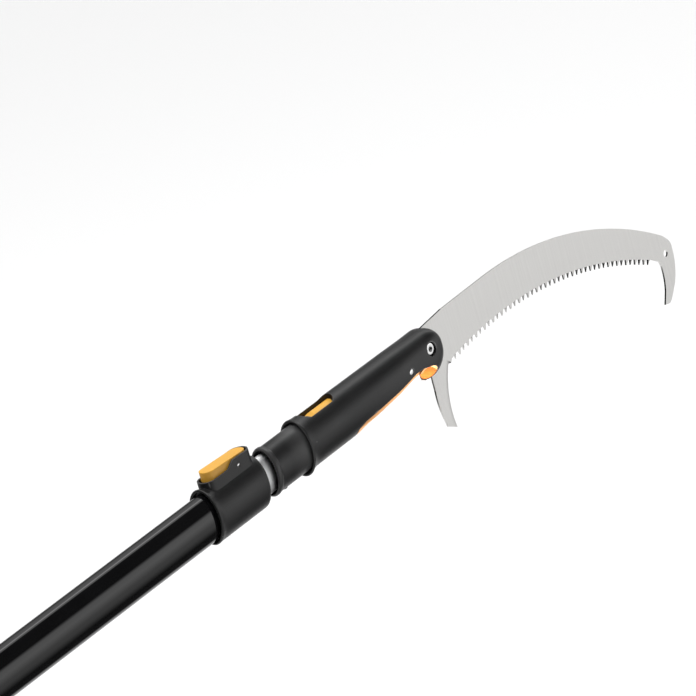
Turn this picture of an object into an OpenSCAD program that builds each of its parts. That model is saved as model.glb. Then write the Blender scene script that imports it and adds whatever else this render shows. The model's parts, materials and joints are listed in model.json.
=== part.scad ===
// Telescoping pole saw: an oval two-stage pole with a cam-lever clamp, a snap-on
// head on an adapter, and a fixed, curved, hooked pruning blade.
//
// Frame: X runs along the pole from the hang hole towards the blade, Z is up, and
// the teeth point down (-Z). The origin is the centre of the hang hole.
// The pole is drawn pushed in, the clamp lever closed and the head latched on.

/* [Outer tube] */
// Length of the outer tube
outer_tube_len = 1240; // [900:10:1800]
// Height of the oval outer tube
outer_tube_h = 38.2; // [36:0.2:44]
// Width of the oval outer tube
outer_tube_w = 20.8; // [20:0.2:26]
// Wall of the outer tube
outer_tube_wall = 1.3; // [1:0.1:1.6]
// Distance from the hang hole to the rear end of the outer tube
outer_tube_x = 13; // [11:0.5:20]

/* [Inner tube] */
// Length of the inner tube
inner_tube_len = 1180; // [700:10:1200]
// Height of the oval inner tube
inner_tube_h = 32; // [28:0.2:32.4]
// Width of the oval inner tube
inner_tube_w = 14.8; // [13:0.2:15.2]
// Wall of the inner tube
inner_tube_wall = 1.3; // [1:0.1:1.6]
// Length of the slider on the rear end of the inner tube
guide_len = 90; // [40:5:140]
// Gap between the slider and the outer tube
guide_gap = 0.3; // [0.25:0.05:0.5]
// Radius of the pin that holds the slider
guide_pin_r = 2; // [1.5:0.1:2.5]

/* [Clamp collar] */
// Length of the collar
collar_len = 64; // [62:1:76]
// Length of outer tube inside the collar
collar_overlap = 29; // [20:1:29]
// Wall of the collar over the outer tube
collar_wall = 2.7; // [2.4:0.1:3.5]
// How far the rear lip stands out
collar_lip = 0.8; // [0.4:0.1:1.5]
// Height of the rear lip's middle above the pole's axis
collar_lip_z = 0.6; // [0:0.1:0.8]
// Depth of the open ring between the rear lip and the tube
collar_recess_depth = 4; // [2:0.5:6]
// Radius of the rounded front edge
collar_front_r = 3; // [1:0.5:3]
// Wall of the bushing inside the front of the collar
bushing_wall = 1.6; // [1.4:0.1:2]
// Gap between the bushing and the inner tube
bushing_gap = 0.3; // [0.25:0.05:0.5]
// Gap between collar and adapter with the pole pushed in
rest_gap = 10; // [7:0.5:20]

/* [Lever housing] */
// Length of the lever housing
housing_len = 55; // [54:0.5:58]
// Width of the lever housing
housing_w = 16.2; // [16:0.2:20]
// Wall of the lever housing
housing_wall = 1.4; // [1.2:0.1:1.6]
// Distance from the front of the housing to the front of the collar
housing_front = 4; // [4:0.5:8]
// Height of the low rear rim above the pole's axis
rim_low_z = 26.1; // [25.4:0.1:28]
// Height of the raised front rim above the pole's axis
rim_high_z = 30.4; // [30:0.1:30.6]
// Where the rim starts to rise, behind the lever pin
rim_rise_start = 14; // [12:0.5:16]
// Length of the rise
rim_rise_len = 10; // [8:0.5:12]
// Height of the cavity's floor behind the cam
floor_rear_z = 22.4; // [22:0.1:23]
// Height of the cavity's floor under the front of the lever
floor_front_z = 19.2; // [18.9:0.1:19.6]

/* [Cam lever] */
// Distance from the lever pin to the front of the housing
pin_to_front = 19; // [19:0.5:21]
// Height of the lever pin above the pole's axis
pin_z = 24; // [23.8:0.1:24.4]
// Radius of the lever pin
pin_r = 1.6; // [1.2:0.1:1.8]
// Gap between the lever and its pin
pin_gap = 0.05; // [0.02:0.01:0.1]
// Reach of the lever behind its pin
lever_rear = 32; // [28:0.5:33]
// Reach of the lever in front of its pin
lever_front = 15.6; // [14:0.2:15.8]
// Gap between the lever and the housing walls
lever_side_gap = 0.5; // [0.4:0.1:1]
// Height of the lever's top above its pin, at the front
lever_top = 6.6; // [6.4:0.1:7]
// Extra height of the lever's top at its rear end
lever_rise = 2; // [0:0.1:3]
// Opening angle of the lever
lever_open = 28; // [20:1:28]
// Lift of the brake shoe when the lever opens
shoe_lift = 1; // [0.6:0.1:1]
// Radius of the cam lobe
cam_r = 3.9; // [3.6:0.1:4]
// Radius of the hub round the pin
hub_r = 3.1; // [2.6:0.1:3.1]
// Width of the cam lobe and the hub
cam_w = 9.4; // [8:0.2:9.8]
// Gap between the cam and the brake shoe
cam_gap = 0.05; // [0.03:0.01:0.1]

/* [Brake shoe] */
// Half length of the brake shoe
shoe_half_len = 7.6; // [6:0.2:8]
// Half width of the brake shoe
shoe_half_w = 5; // [4:0.2:5.4]
// Gap between the shoe and its pocket
shoe_gap = 0.25; // [0.2:0.05:0.4]
// Thickness of the rubber pad under the shoe
pad_t = 1.2; // [1:0.1:1.4]
// Gap between the pad and the inner tube
pad_gap = 0.15; // [0.1:0.05:0.3]
// Height of the shoe's shoulders above the pole's axis
shoe_shoulder_z = 18.2; // [18:0.1:18.3]

/* [Hand grip and end cap] */
// Length of the hand grip
grip_len = 210; // [150:5:300]
// Thickness of the hand grip
grip_t = 2.6; // [2:0.1:4]
// Extra thickness of the grip's rear flare
grip_flare = 2.4; // [1:0.1:4]
// Radius of the hang hole
hang_r = 4.5; // [3.5:0.5:5.5]
// Width of the cap between the two flat faces round the hang hole
hang_w = 18; // [16:0.5:19]
// Distance from the hang hole to the rear end of the cap
cap_rear = 17; // [14:0.5:22]
// Length of the cap's skirt over the tube
cap_skirt = 18; // [14:1:24]
// Thickness of the cap's skirt
cap_skirt_t = 1.8; // [1.4:0.1:2.6]
// Length of the cap's plug in the tube
cap_plug = 34; // [26:1:50]
// Radius of the shank of the small screws
screw_r = 1.5; // [1.2:0.1:1.8]
// Radius of the head of the small screws
screw_head_r = 2.9; // [2.5:0.1:3.2]

/* [Adapter] */
// Length of inner tube inside the adapter
adapter_socket = 40; // [30:1:44]
// Depth of the wide mouth round the inner tube at the adapter's rear end
adapter_mouth_len = 7; // [4:0.5:9]
// Wall left round the adapter's mouth
adapter_mouth_wall = 1.9; // [1.6:0.1:2.4]
// Length of the adapter's thick rear part
adapter_body_len = 48; // [47:0.5:54]
// Height of the adapter's thick rear part
adapter_h = 38.8; // [38.4:0.2:42]
// Width of the adapter's thick rear part
adapter_w = 24; // [23:0.2:25]
// How far the adapter's flange stands out
flange_out = 0.8; // [0.4:0.1:1.2]
// Length of the adapter's flange
flange_len = 5; // [3:0.5:7]
// Distance from the end of the tenon to the start of the head's waist
tenon_end_gap = 2; // [1.5:0.5:6]
// Height of the tenon
tenon_h = 35; // [34.6:0.2:35.4]
// Width of the tenon
tenon_w = 21.6; // [21.2:0.2:22]
// Height of the adapter's middle above the pole's axis
adapter_z = 0.5; // [0.4:0.1:1]
// Wall of the adapter
adapter_wall = 2.4; // [2:0.1:2.8]
// Distance from the adapter's rear face to its rivet
rivet_x = 15; // [10:0.5:20]
// Radius of the rivet through the adapter's underside
rivet_r = 1.8; // [1.5:0.1:2.2]
// Radius of the rivet's head
rivet_head_r = 2.8; // [2.6:0.1:4]

/* [Latch button] */
// Distance from the adapter's rear face to the middle of the button
button_x = 76; // [74:0.5:77]
// Length of the button
button_len = 29; // [24:0.5:30]
// Width of the button
button_w = 12.4; // [11:0.2:13.4]
// How far the button's top lies below the head's surface
button_inset = 2; // [1.6:0.1:3]
// Travel of the button
button_travel = 3; // [2.6:0.1:4]
// Gap round the button
button_gap = 0.25; // [0.2:0.05:0.4]
// Width of the button's hidden skirt beyond its sides
skirt_out = 1.5; // [1:0.1:1.8]
// Thickness of the skirt
skirt_t = 2; // [1.5:0.1:2.5]
// Height of the skirt's top above the pole's axis
skirt_z = 9.3; // [8.5:0.1:9.6]
// Height of the spring's seat above the pole's axis
spring_seat_z = -2; // [-6:0.5:0]
// Mean radius of the spring's coil
spring_r = 4.4; // [3.8:0.1:5]
// Radius of the spring's wire
spring_wire_r = 0.45; // [0.3:0.05:0.6]
// Turns of the spring
spring_turns = 5; // [4:1:7]

/* [Saw head] */
// Distance from the adapter's rear face to the head's rear rim
head_start = 41; // [40:0.5:43]
// Distance from the head's rear rim to the centre of its round nose
head_len = 164.5; // [160:0.5:170]
// Height of the head behind the grip
head_h = 42.8; // [42.4:0.2:46]
// Width of the head behind the grip
head_w = 27.2; // [26.8:0.2:30]
// Height of the head's middle above the pole's axis
head_z = 1.6; // [1.2:0.1:1.8]
// How far the rear rim stands out
head_lip = 1.4; // [0.8:0.1:2]
// Radius of the round nose, seen from the side
nose_r = 20; // [19:0.5:21]
// Width of the head at the nose
nose_w = 25; // [24:0.2:26]
// Height of the nose's centre above the pole's axis
nose_z = 1.5; // [0.5:0.1:2.5]
// Gap between the head and the adapter
head_gap = 0.25; // [0.15:0.05:0.4]
// Length of the button window
window_len = 39; // [38:0.5:40]
// Gap between the button's front end and the window
window_gap = 0.6; // [0.4:0.1:1.2]
// Width of the button window
window_w = 15; // [14.8:0.2:17]
// Distance from the head's rear rim to the start of the waist
waist_start = 63; // [58:1:66]
// Thickness of the orange liner's edge
liner_t = 3.2; // [2.4:0.1:4]
// Width of the orange liner
liner_w = 19; // [16:0.2:20]
// Radius of the front end of the finger scoop under the nose
scoop_r = 5.5; // [5:0.1:6]

/* [Blade] */
// Thickness of the blade
blade_t = 1.5; // [1.2:0.1:2]
// Radius of the curved back
back_r = 430; // [420:5:440]
// Radius of the tooth line
tooth_line_r = 450; // [440:5:460]
// Blade width where the tooth line is highest
blade_w = 39; // [37:0.5:41]
// Number of teeth
tooth_count = 45; // [30:1:60]
// Depth of the gullets
tooth_depth = 4.2; // [3:0.1:5]
// Length of the sickle hook below the head
sickle_len = 46; // [40:1:55]
// Radius of the hole near the blade's tip
tip_hole_r = 3; // [2:0.1:4]
// Gap between the blade and its slot
slot_gap = 0.1; // [0.05:0.05:0.3]
// Radius of the blade bolt's shank
bolt_r = 3; // [2.5:0.5:4]
// Radius of the blade bolt's head
bolt_head_r = 4.8; // [4.4:0.1:5]
// Radius of the recess round the bolt's head
bolt_recess_r = 5.7; // [5.4:0.1:6]
// Distance across the flats of the blade nut
nut_flats = 8; // [7:0.5:9]
// Thickness of the blade nut
nut_t = 4; // [3:0.5:5]
// Radius of the locating pin behind the bolt
locating_pin_r = 2.7; // [2:0.1:3]

/* [Hidden] */

SIDES = 64;           // points round an oval
ROUND = 64;           // facets setting of round parts
FIT = 0.05;           // gap of pieces that are fixed to each other
CUT = 1;              // how far a cutting body runs past a face

// Stations along the pole
outer_front_x = outer_tube_x + outer_tube_len;
collar_x = outer_front_x - collar_overlap;
collar_front_x = collar_x + collar_len;
adapter_x = collar_front_x + rest_gap;
inner_front_x = adapter_x + adapter_socket;
inner_rear_x = inner_front_x - inner_tube_len;
tenon_x = adapter_x + adapter_body_len;
head_x = adapter_x + head_start;
waist_x = head_x + waist_start;
tenon_end_x = waist_x - tenon_end_gap;
tenon_len = tenon_end_x - tenon_x;
nose_x = head_x + head_len;

// Clamp
bushing_h = inner_tube_h + 2 * (bushing_gap + bushing_wall);
bushing_w = inner_tube_w + 2 * (bushing_gap + bushing_wall);
bushing_x = outer_front_x + 0.3;
collar_end_wall = 1.6;
bushing_end_x = collar_front_x - collar_end_wall;
housing_front_x = collar_front_x - housing_front;
housing_mid_x = housing_front_x - housing_len / 2;
pin_x = housing_front_x - pin_to_front;
lever_w = housing_w - 2 * (housing_wall + lever_side_gap);
cam_offset = shoe_lift / (2 * sin(lever_open / 2));
cam_x = pin_x - cam_offset * cos(lever_open / 2);
cam_z = pin_z - shoe_lift / 2;
ridge_top_z = cam_z - cam_r - cam_gap;
shoe_under = pad_gap + pad_t;

// Grip and cap
grip_x = outer_tube_x + cap_skirt + 1;
cap_h = outer_tube_h + 2 * cap_skirt_t;
cap_w = outer_tube_w + 2 * cap_skirt_t;
cap_screw_x = outer_tube_x + cap_skirt / 2;
collar_screw_x = collar_x + collar_overlap / 2 + 1;

rivet_sunk = 0.5;

// Latch
button_mid_x = adapter_x + button_x;
window_x = button_mid_x - (window_len - button_len) / 2 + window_gap;
skirt_w = button_w + 2 * skirt_out;
skirt_len = button_len + 2 * skirt_out;
button_top_h = head_h - 2 * button_inset;
button_top_w = head_w - 2 * button_inset;

// Blade, placed from the middle of its root
blade_x = nose_x - 6;
slot_t = blade_t + 2 * slot_gap;
bolt_x = blade_x + 7.5;
bolt_z = nose_z + 4.2;
locating_pin_x = blade_x - 22.8;
locating_pin_z = nose_z - 1.3;
bolt_head_y = nose_w / 2 - 1.2;
bolt_head_t = 2.4;
nut_y = nose_w / 2 - 1 - nut_t;
back_top_z = nose_z + 22.2;
back_mid_x = blade_x + 106.5;
tooth_mid_x = blade_x + 117;
tooth_top_z = back_top_z - blade_w;
tooth_start_a = -9.3;
tooth_end_a = 26.6;
scoop_x = blade_x + 2.7;
scoop_z = nose_z - 14.2;

// ---------------------------------------------------------------- helpers

// Signed power, for the corners of a squarish oval
function bend(v, e) = sign(v) * pow(abs(v), 2 / e);

// Points of an upright oval, height h and width w: e = 2 is an ellipse, more is squarer
function oval(h, w, n = SIDES, e = 2) = [for (i = [0 : n - 1])
    [w / 2 * bend(cos(360 * i / n), e), h / 2 * bend(sin(360 * i / n), e)]];

// Points of a stadium, length l along x and width w
function stadium(l, w, n = 12) = [
    for (i = [0 : n]) [l / 2 - w / 2 + w / 2 * sin(180 * i / n), -w / 2 * cos(180 * i / n)],
    for (i = [0 : n]) [w / 2 - l / 2 - w / 2 * sin(180 * i / n), w / 2 * cos(180 * i / n)]
];

// Points of an arc, centre [x, z], from angle a to angle b, measured from +X
function arc(x, z, r, a, b, n) =
    [for (i = [0 : n]) [x + r * cos(a + (b - a) * i / n), z + r * sin(a + (b - a) * i / n)]];

// Points of an arc by its angle from straight up, forwards positive
function crown(x, z, r, a, b, n) =
    [for (i = [0 : n]) [x + r * sin(a + (b - a) * i / n), z + r * cos(a + (b - a) * i / n)]];

// Straight oval bar along X
module oval_bar(x, len, h, w, z = 0) {
    translate([x, 0, z]) rotate([90, 0, 90]) linear_extrude(len) polygon(oval(h, w));
}

// Straight oval pipe along X
module oval_pipe(x, len, h, w, wall) {
    translate([x, 0, 0]) rotate([90, 0, 90]) linear_extrude(len) difference() {
        polygon(oval(h, w));
        polygon(oval(h - 2 * wall, w - 2 * wall));
    }
}

// Smooth oval body through stations [x, height, width, middle height, squareness]
module oval_loft(stations, n = 48) {
    count = len(stations);
    polyhedron(
        points = [for (s = stations) for (p = oval(s[1], s[2], n, s[4] == undef ? 2 : s[4]))
            [s[0], p[0], s[3] + p[1]]],
        faces = [
            [for (j = [0 : n - 1]) j],
            for (i = [0 : count - 2]) for (j = [0 : n - 1])
                let (a = i * n + j, b = i * n + (j + 1) % n)
                each [[a, a + n, b], [b, a + n, b + n]],
            [for (j = [n - 1 : -1 : 0]) (count - 1) * n + j]
        ]);
}

// Flat outline in the XZ plane, thickened along Y
module side_plate(y0, y1) {
    translate([0, y1, 0]) rotate([90, 0, 0]) linear_extrude(y1 - y0) children();
}

// Upright stadium block
module stadium_block(x, len, w, z0, z1) {
    translate([x, 0, z0]) linear_extrude(z1 - z0) polygon(stadium(len, w));
}

// Round bar along Y
module cross_bar(x, z, r, y0, y1) {
    translate([x, y0, z]) rotate([-90, 0, 0]) cylinder(h = y1 - y0, r = r, $fn = ROUND);
}

// Round bar along Z
module upright_bar(x, z0, z1, r) {
    translate([x, 0, z0]) cylinder(h = z1 - z0, r = r, $fn = ROUND);
}

// Screw driven up from below, its head's face at z
module underside_screw(x, z, len) {
    difference() {
        union() {
            upright_bar(x, z, z + 1.6, screw_head_r);
            upright_bar(x, z + 1.6 - FIT, z + len, screw_r);
        }
        translate([x, 0, z]) for (a = [0, 90])
            rotate([0, 0, a]) cube([0.8, 3.4, 1.8], center = true);
    }
}

// ---------------------------------------------------------------- pole

module outer_tube() {
    color("#141416") difference() {
        oval_pipe(outer_tube_x, outer_tube_len, outer_tube_h, outer_tube_w, outer_tube_wall);
        upright_bar(cap_screw_x, -outer_tube_h / 2 - CUT, 0, screw_r + FIT);
        upright_bar(collar_screw_x, -outer_tube_h / 2 - CUT, 0, screw_r + FIT);
    }
}

// Rubber sleeve, flared at the rear and grooved along its middle
module hand_grip() {
    h = outer_tube_h + 2 * grip_t;
    w = outer_tube_w + 2 * grip_t;
    flare = 2 * grip_flare;
    x1 = grip_x + grip_len;
    color("#232325") difference() {
        oval_loft([
            [grip_x, h + flare - 2, w + flare - 2, 0], [grip_x + 2, h + flare, w + flare, 0],
            [grip_x + 9, h + flare, w + flare, 0], [grip_x + 22, h + flare / 3, w + flare / 3, 0],
            [grip_x + 40, h, w, 0], [x1 - 30, h, w, 0], [x1 - 18, h + flare / 4, w + flare / 4, 0],
            [x1 - 6, h + flare / 4, w + flare / 4, 0], [x1, h - grip_t, w - grip_t, 0]]);
        oval_bar(grip_x - CUT, grip_len + 2 * CUT, outer_tube_h + 2 * FIT, outer_tube_w + 2 * FIT);
    }
}

// Plug and skirt in the rear end, with the hang hole across it
module end_cap() {
    plug_h = outer_tube_h - 2 * (outer_tube_wall + FIT);
    plug_w = outer_tube_w - 2 * (outer_tube_wall + FIT);
    skirt_x = outer_tube_x + cap_skirt;
    color("#1c1c1e") difference() {
        union() {
            difference() {
                oval_loft([
                    for (a = [0 : 15 : 75]) [-cap_rear * cos(a), cap_h * (0.45 + 0.55 * sin(a)),
                                             cap_w * (0.6 + 0.4 * sin(a)), 0],
                    [0, cap_h, cap_w, 0], [skirt_x - 1.5, cap_h, cap_w, 0],
                    [skirt_x, cap_h - 2, cap_w - 2, 0]]);
                oval_bar(outer_tube_x, cap_skirt + CUT, outer_tube_h + 2 * FIT,
                         outer_tube_w + 2 * FIT);
            }
            oval_bar(outer_tube_x - FIT, cap_plug, plug_h, plug_w);
        }
        cross_bar(0, 0, hang_r, -cap_w, cap_w);
        for (side = [-1, 1])
            cross_bar(0, 0, hang_r + 3.5, side * hang_w / 2 + (side < 0 ? -cap_w : 0),
                      side * hang_w / 2 + (side < 0 ? 0 : cap_w));
        upright_bar(cap_screw_x, -cap_h, -plug_h / 2 + 7, screw_r + FIT);
        upright_bar(cap_screw_x, -cap_h, -cap_h / 2 + 1.5, screw_head_r + 0.2);
    }
}

module end_cap_screw() {
    color("silver") underside_screw(cap_screw_x, -cap_h / 2 + 1.5 - 1.6 - FIT, 8);
}

// ---------------------------------------------------------------- clamp

// Outline of the rim: low at the rear, rising in an S-curve to the front
function rim_line() = let (x0 = pin_x - rim_rise_start) [
    [housing_mid_x - housing_len, rim_low_z],
    for (t = [0 : 0.125 : 1])
        [x0 + rim_rise_len * t, rim_low_z + (rim_high_z - rim_low_z) * (1 - cos(180 * t)) / 2],
    [housing_front_x + CUT, rim_high_z - 0.5]
];

module lever_housing() {
    intersection() {
        stadium_block(housing_mid_x, housing_len, housing_w, 10, rim_high_z + 2 * CUT);
        side_plate(-housing_w, housing_w) polygon(concat(
            rim_line(), [[housing_front_x + CUT, 0], [housing_mid_x - housing_len, 0]]));
    }
}

module shoe_block(gap, z0, z1) {
    translate([pin_x - shoe_half_len - gap, -shoe_half_w - gap, z0])
        cube([2 * (shoe_half_len + gap), 2 * (shoe_half_w + gap), z1 - z0]);
}

module clamp_collar() {
    h = outer_tube_h + 2 * collar_wall;
    w = outer_tube_w + 2 * collar_wall;
    lip = 2 * collar_lip;
    z = collar_lip_z;
    r = collar_front_r;
    cavity_len = housing_len - 2 * housing_wall;
    cavity_w = housing_w - 2 * housing_wall;
    color("#1e1e20") difference() {
        union() {
            oval_loft([
                [collar_x, h + lip - 1, w + lip, z], [collar_x + 0.8, h + lip, w + lip + 1, z],
                [collar_x + 3, h + lip, w + lip + 1, z], [collar_x + 6, h, w, 0],
                for (a = [0 : 22.5 : 90]) [collar_front_x - r * (1 - sin(a)),
                                           h - 2 * r * (1 - cos(a)), w - 2 * r * (1 - cos(a)), 0]]);
            lever_housing();
        }
        // bore over the outer tube, and the open ring behind it
        oval_bar(collar_x - CUT, collar_overlap + CUT + 0.3, outer_tube_h + 2 * FIT,
                 outer_tube_w + 2 * FIT);
        oval_bar(collar_x - CUT, collar_recess_depth + CUT, outer_tube_h + 1.3 * collar_wall,
                 outer_tube_w + 1.3 * collar_wall, z / 2);
        // seat of the bushing, and the way out for the inner tube
        oval_bar(bushing_x - CUT, bushing_end_x - bushing_x + CUT, bushing_h, bushing_w);
        oval_bar(bushing_x, collar_len, inner_tube_h + 2 * bushing_gap,
                 inner_tube_w + 2 * bushing_gap);
        // lever cavity, deeper round the cam
        stadium_block(housing_mid_x, cavity_len, cavity_w, floor_rear_z, rim_high_z + 4 * CUT);
        intersection() {
            stadium_block(housing_mid_x, cavity_len, cavity_w, floor_front_z, floor_rear_z + CUT);
            translate([pin_x - 9, -housing_w, 0]) cube([housing_len, 2 * housing_w, 40]);
        }
        shoe_block(shoe_gap, 8, floor_rear_z);
        cross_bar(pin_x, pin_z, pin_r, -housing_w, housing_w);
        upright_bar(collar_screw_x, -h, -outer_tube_h / 2 + CUT, screw_r + FIT);
        upright_bar(collar_screw_x, -h, -h / 2 + 1.4, screw_head_r + 0.2);
    }
}

module collar_bushing() {
    color("#d8d4c8") difference() {
        oval_bar(bushing_x, bushing_end_x - bushing_x - FIT, bushing_h - 2 * FIT,
                 bushing_w - 2 * FIT);
        oval_bar(bushing_x - CUT, collar_len, inner_tube_h + 2 * bushing_gap,
                 inner_tube_w + 2 * bushing_gap);
        shoe_block(shoe_gap, 8, floor_rear_z);
    }
}

module collar_screw() {
    h = outer_tube_h + 2 * collar_wall;
    color("silver") underside_screw(collar_screw_x, -h / 2 + 1.4 - 1.6 - FIT,
                                    collar_wall + outer_tube_wall + 0.1);
}

module lever_pin() {
    color("silver") cross_bar(pin_x, pin_z, pin_r, -housing_w / 2 + 0.1, housing_w / 2 - 0.1);
}

// Rocker lever: its rear end lifts, its front end drops into the housing
module cam_lever() {
    slope = tan(lever_open);
    bed = (floor_front_z - pin_z + 0.3) / cos(lever_open);
    color("#f0a020") difference() {
        union() {
            intersection() {
                side_plate(-lever_w, lever_w) polygon([
                    for (t = [0 : 0.125 : 1]) [
                        pin_x + lever_front - (lever_front + lever_rear) * t,
                        pin_z + lever_top + lever_rise * t * t],
                    [pin_x - lever_rear, pin_z + 0.6],
                    [pin_x - 2, pin_z + 0.6],
                    [pin_x + 1, pin_z + bed + slope * 3.2],
                    [pin_x + 3.2, pin_z + bed + slope * 3.2],
                    [pin_x + lever_front, pin_z + bed + slope * lever_front]]);
                stadium_block(pin_x + (lever_front - lever_rear) / 2, lever_front + lever_rear,
                              lever_w, pin_z - 8, pin_z + 14);
            }
            cross_bar(pin_x, pin_z, hub_r, -cam_w / 2, cam_w / 2);
            cross_bar(cam_x, cam_z, cam_r, -cam_w / 2, cam_w / 2);
        }
        cross_bar(pin_x, pin_z, pin_r + pin_gap, -housing_w, housing_w);
    }
}

module brake_shoe() {
    color("#3a3a3c") difference() {
        union() {
            shoe_block(0, 8, shoe_shoulder_z);
            translate([cam_x - 3, -shoe_half_w, shoe_shoulder_z - FIT])
                cube([4, 2 * shoe_half_w, ridge_top_z - shoe_shoulder_z + FIT]);
        }
        oval_bar(pin_x - 20, 40, inner_tube_h + 2 * shoe_under, inner_tube_w + 2 * shoe_under);
        translate([pin_x - 20, -housing_w, 0]) cube([40, 2 * housing_w, 11.5]);
    }
}

module shoe_pad() {
    color("#101010") intersection() {
        difference() {
            oval_bar(pin_x - 20, 40, inner_tube_h + 2 * shoe_under - 0.02,
                     inner_tube_w + 2 * shoe_under - 0.02);
            oval_bar(pin_x - 21, 42, inner_tube_h + 2 * pad_gap, inner_tube_w + 2 * pad_gap);
        }
        shoe_block(0, 11.5, 22);
    }
}

// ---------------------------------------------------------------- extension

module inner_tube() {
    color("#c8cacc") difference() {
        oval_pipe(inner_rear_x, inner_tube_len, inner_tube_h, inner_tube_w, inner_tube_wall);
        cross_bar(inner_rear_x + 20, 0, guide_pin_r, -outer_tube_w, outer_tube_w);
        upright_bar(adapter_x + rivet_x, -inner_tube_h, 0, rivet_r + FIT);
    }
}

// Slider that closes the inner tube's rear end and runs in the outer tube
module tube_guide() {
    h = outer_tube_h - 2 * (outer_tube_wall + guide_gap);
    w = outer_tube_w - 2 * (outer_tube_wall + guide_gap);
    color("#202022") difference() {
        union() {
            oval_bar(inner_rear_x - 5, 5, h, w);
            difference() {
                oval_bar(inner_rear_x - FIT, guide_len, h, w);
                oval_bar(inner_rear_x - 2 * FIT, guide_len + CUT, inner_tube_h + 2 * FIT,
                         inner_tube_w + 2 * FIT);
            }
        }
        cross_bar(inner_rear_x + 20, 0, guide_pin_r, -outer_tube_w, outer_tube_w);
    }
}

module guide_pin() {
    w = outer_tube_w - 2 * (outer_tube_wall + guide_gap);
    color("silver") cross_bar(inner_rear_x + 20, 0, guide_pin_r, -w / 2 + 0.2, w / 2 - 0.2);
}

// Sleeve on the inner tube with the tenon that carries the head
module adapter() {
    h = adapter_h;
    w = adapter_w;
    out = 2 * flange_out;
    z = adapter_z;
    color("#1e1e20") difference() {
        oval_loft([
            [adapter_x, h + out - 2, w + out - 2, z], [adapter_x + 1, h + out, w + out, z],
            [adapter_x + flange_len - 1, h + out, w + out, z], [adapter_x + flange_len + 1, h, w, z],
            [tenon_x - 1, h, w, z], [tenon_x, h - 1, w - 1, z], [tenon_x, tenon_h, tenon_w, z],
            [tenon_end_x - 2, tenon_h, tenon_w, z], [tenon_end_x, tenon_h - 3, tenon_w - 3, z]]);
        oval_bar(adapter_x - CUT, adapter_socket + CUT + FIT, inner_tube_h + 2 * FIT,
                 inner_tube_w + 2 * FIT);
        // wide mouth round the inner tube
        oval_loft([
            [adapter_x - CUT, h + out - 2 * adapter_mouth_wall, w + out - 2 * adapter_mouth_wall, z],
            [adapter_x + 1, h + out - 2 * adapter_mouth_wall, w + out - 2 * adapter_mouth_wall, z],
            [adapter_x + adapter_mouth_len, h - 2 * adapter_mouth_wall, w - 2 * adapter_mouth_wall, z]]);
        // hollow front end of the tenon
        oval_bar(button_mid_x + skirt_len / 2 + 4, tenon_len, tenon_h - 2 * adapter_wall,
                 tenon_w - 2 * adapter_wall, z);
        // button opening, and the wider chamber for its skirt and spring
        stadium_block(button_mid_x, button_len + 2 * button_gap, button_w + 2 * button_gap,
                      skirt_z - CUT, 30);
        stadium_block(button_mid_x, skirt_len + 2 * button_gap, skirt_w + 2 * button_gap,
                      skirt_z - skirt_t - button_travel - 0.4, skirt_z + 0.1);
        upright_bar(button_mid_x, spring_seat_z, 10, spring_r + spring_wire_r + 0.5);
        upright_bar(adapter_x + rivet_x, -adapter_h, 0, rivet_r + FIT);
        upright_bar(adapter_x + rivet_x, -adapter_h, z - h / 2 + rivet_sunk + FIT,
                    rivet_head_r + FIT);
    }
}

module adapter_rivet() {
    z = adapter_z - adapter_h / 2;
    color("#2a2a2c") union() {
        upright_bar(adapter_x + rivet_x, z - 1, z + rivet_sunk, rivet_head_r);
        upright_bar(adapter_x + rivet_x, z, -inner_tube_h / 2 + 3, rivet_r);
    }
}

// ---------------------------------------------------------------- latch

module latch_button() {
    boss_r = spring_r - spring_wire_r - 0.4;
    ramp_z = head_z + button_top_h / 2 - 5.6;
    color("#f0a020") union() {
        intersection() {
            stadium_block(button_mid_x, button_len, button_w, skirt_z - skirt_t, 30);
            oval_bar(button_mid_x - button_len, 2 * button_len, button_top_h, button_top_w, head_z);
            side_plate(-button_w, button_w) polygon([
                [button_mid_x - button_len / 2, 0], [button_mid_x - button_len / 2, ramp_z],
                [button_mid_x - button_len / 2 + 9, ramp_z + 6], [button_mid_x + button_len, ramp_z + 6],
                [button_mid_x + button_len, 0]]);
        }
        stadium_block(button_mid_x, skirt_len, skirt_w, skirt_z - skirt_t, skirt_z);
        upright_bar(button_mid_x, skirt_z - skirt_t - 2, skirt_z, boss_r);
    }
}

// Points of one ring of the spring's wire, at turn angle a and height z
function wire_ring(a, z, n = 8) = [for (j = [0 : n - 1])
    let (c = spring_r + spring_wire_r * cos(360 * j / n))
    [button_mid_x + c * cos(a), c * sin(a), z + spring_wire_r * sin(360 * j / n)]];

module latch_spring() {
    n = 8;
    steps = spring_turns * 16;
    z0 = spring_seat_z + spring_wire_r + FIT;
    z1 = skirt_z - skirt_t - spring_wire_r - FIT;
    color("silver") polyhedron(
        points = [for (i = [0 : steps]) each wire_ring(360 * spring_turns * i / steps,
                                                       z0 + (z1 - z0) * i / steps, n)],
        faces = [
            [for (j = [n - 1 : -1 : 0]) j],
            for (i = [0 : steps - 1]) for (j = [0 : n - 1])
                let (a = i * n + j, b = i * n + (j + 1) % n)
                each [[a, b, a + n], [b, b + n, a + n]],
            [for (j = [0 : n - 1]) steps * n + j]
        ]);
}

// ---------------------------------------------------------------- head

// Lower edge of the black shell, from the start of the waist to the scoop
function waist_line(drop) = [
    [waist_x - 6 + drop, -40],
    [waist_x + drop, head_z - 15 - drop],
    [waist_x + 8 + drop, head_z - 12.6 - drop],
    [waist_x + 30, head_z - 11.2 - drop],
    [waist_x + 55, head_z - 9 - drop],
    [scoop_x - 21, scoop_z + 8.8 - drop],
    [scoop_x - 13, scoop_z + 9.6 - drop],
    [scoop_x - 4, scoop_z + 7.6 - drop]
];

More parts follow.
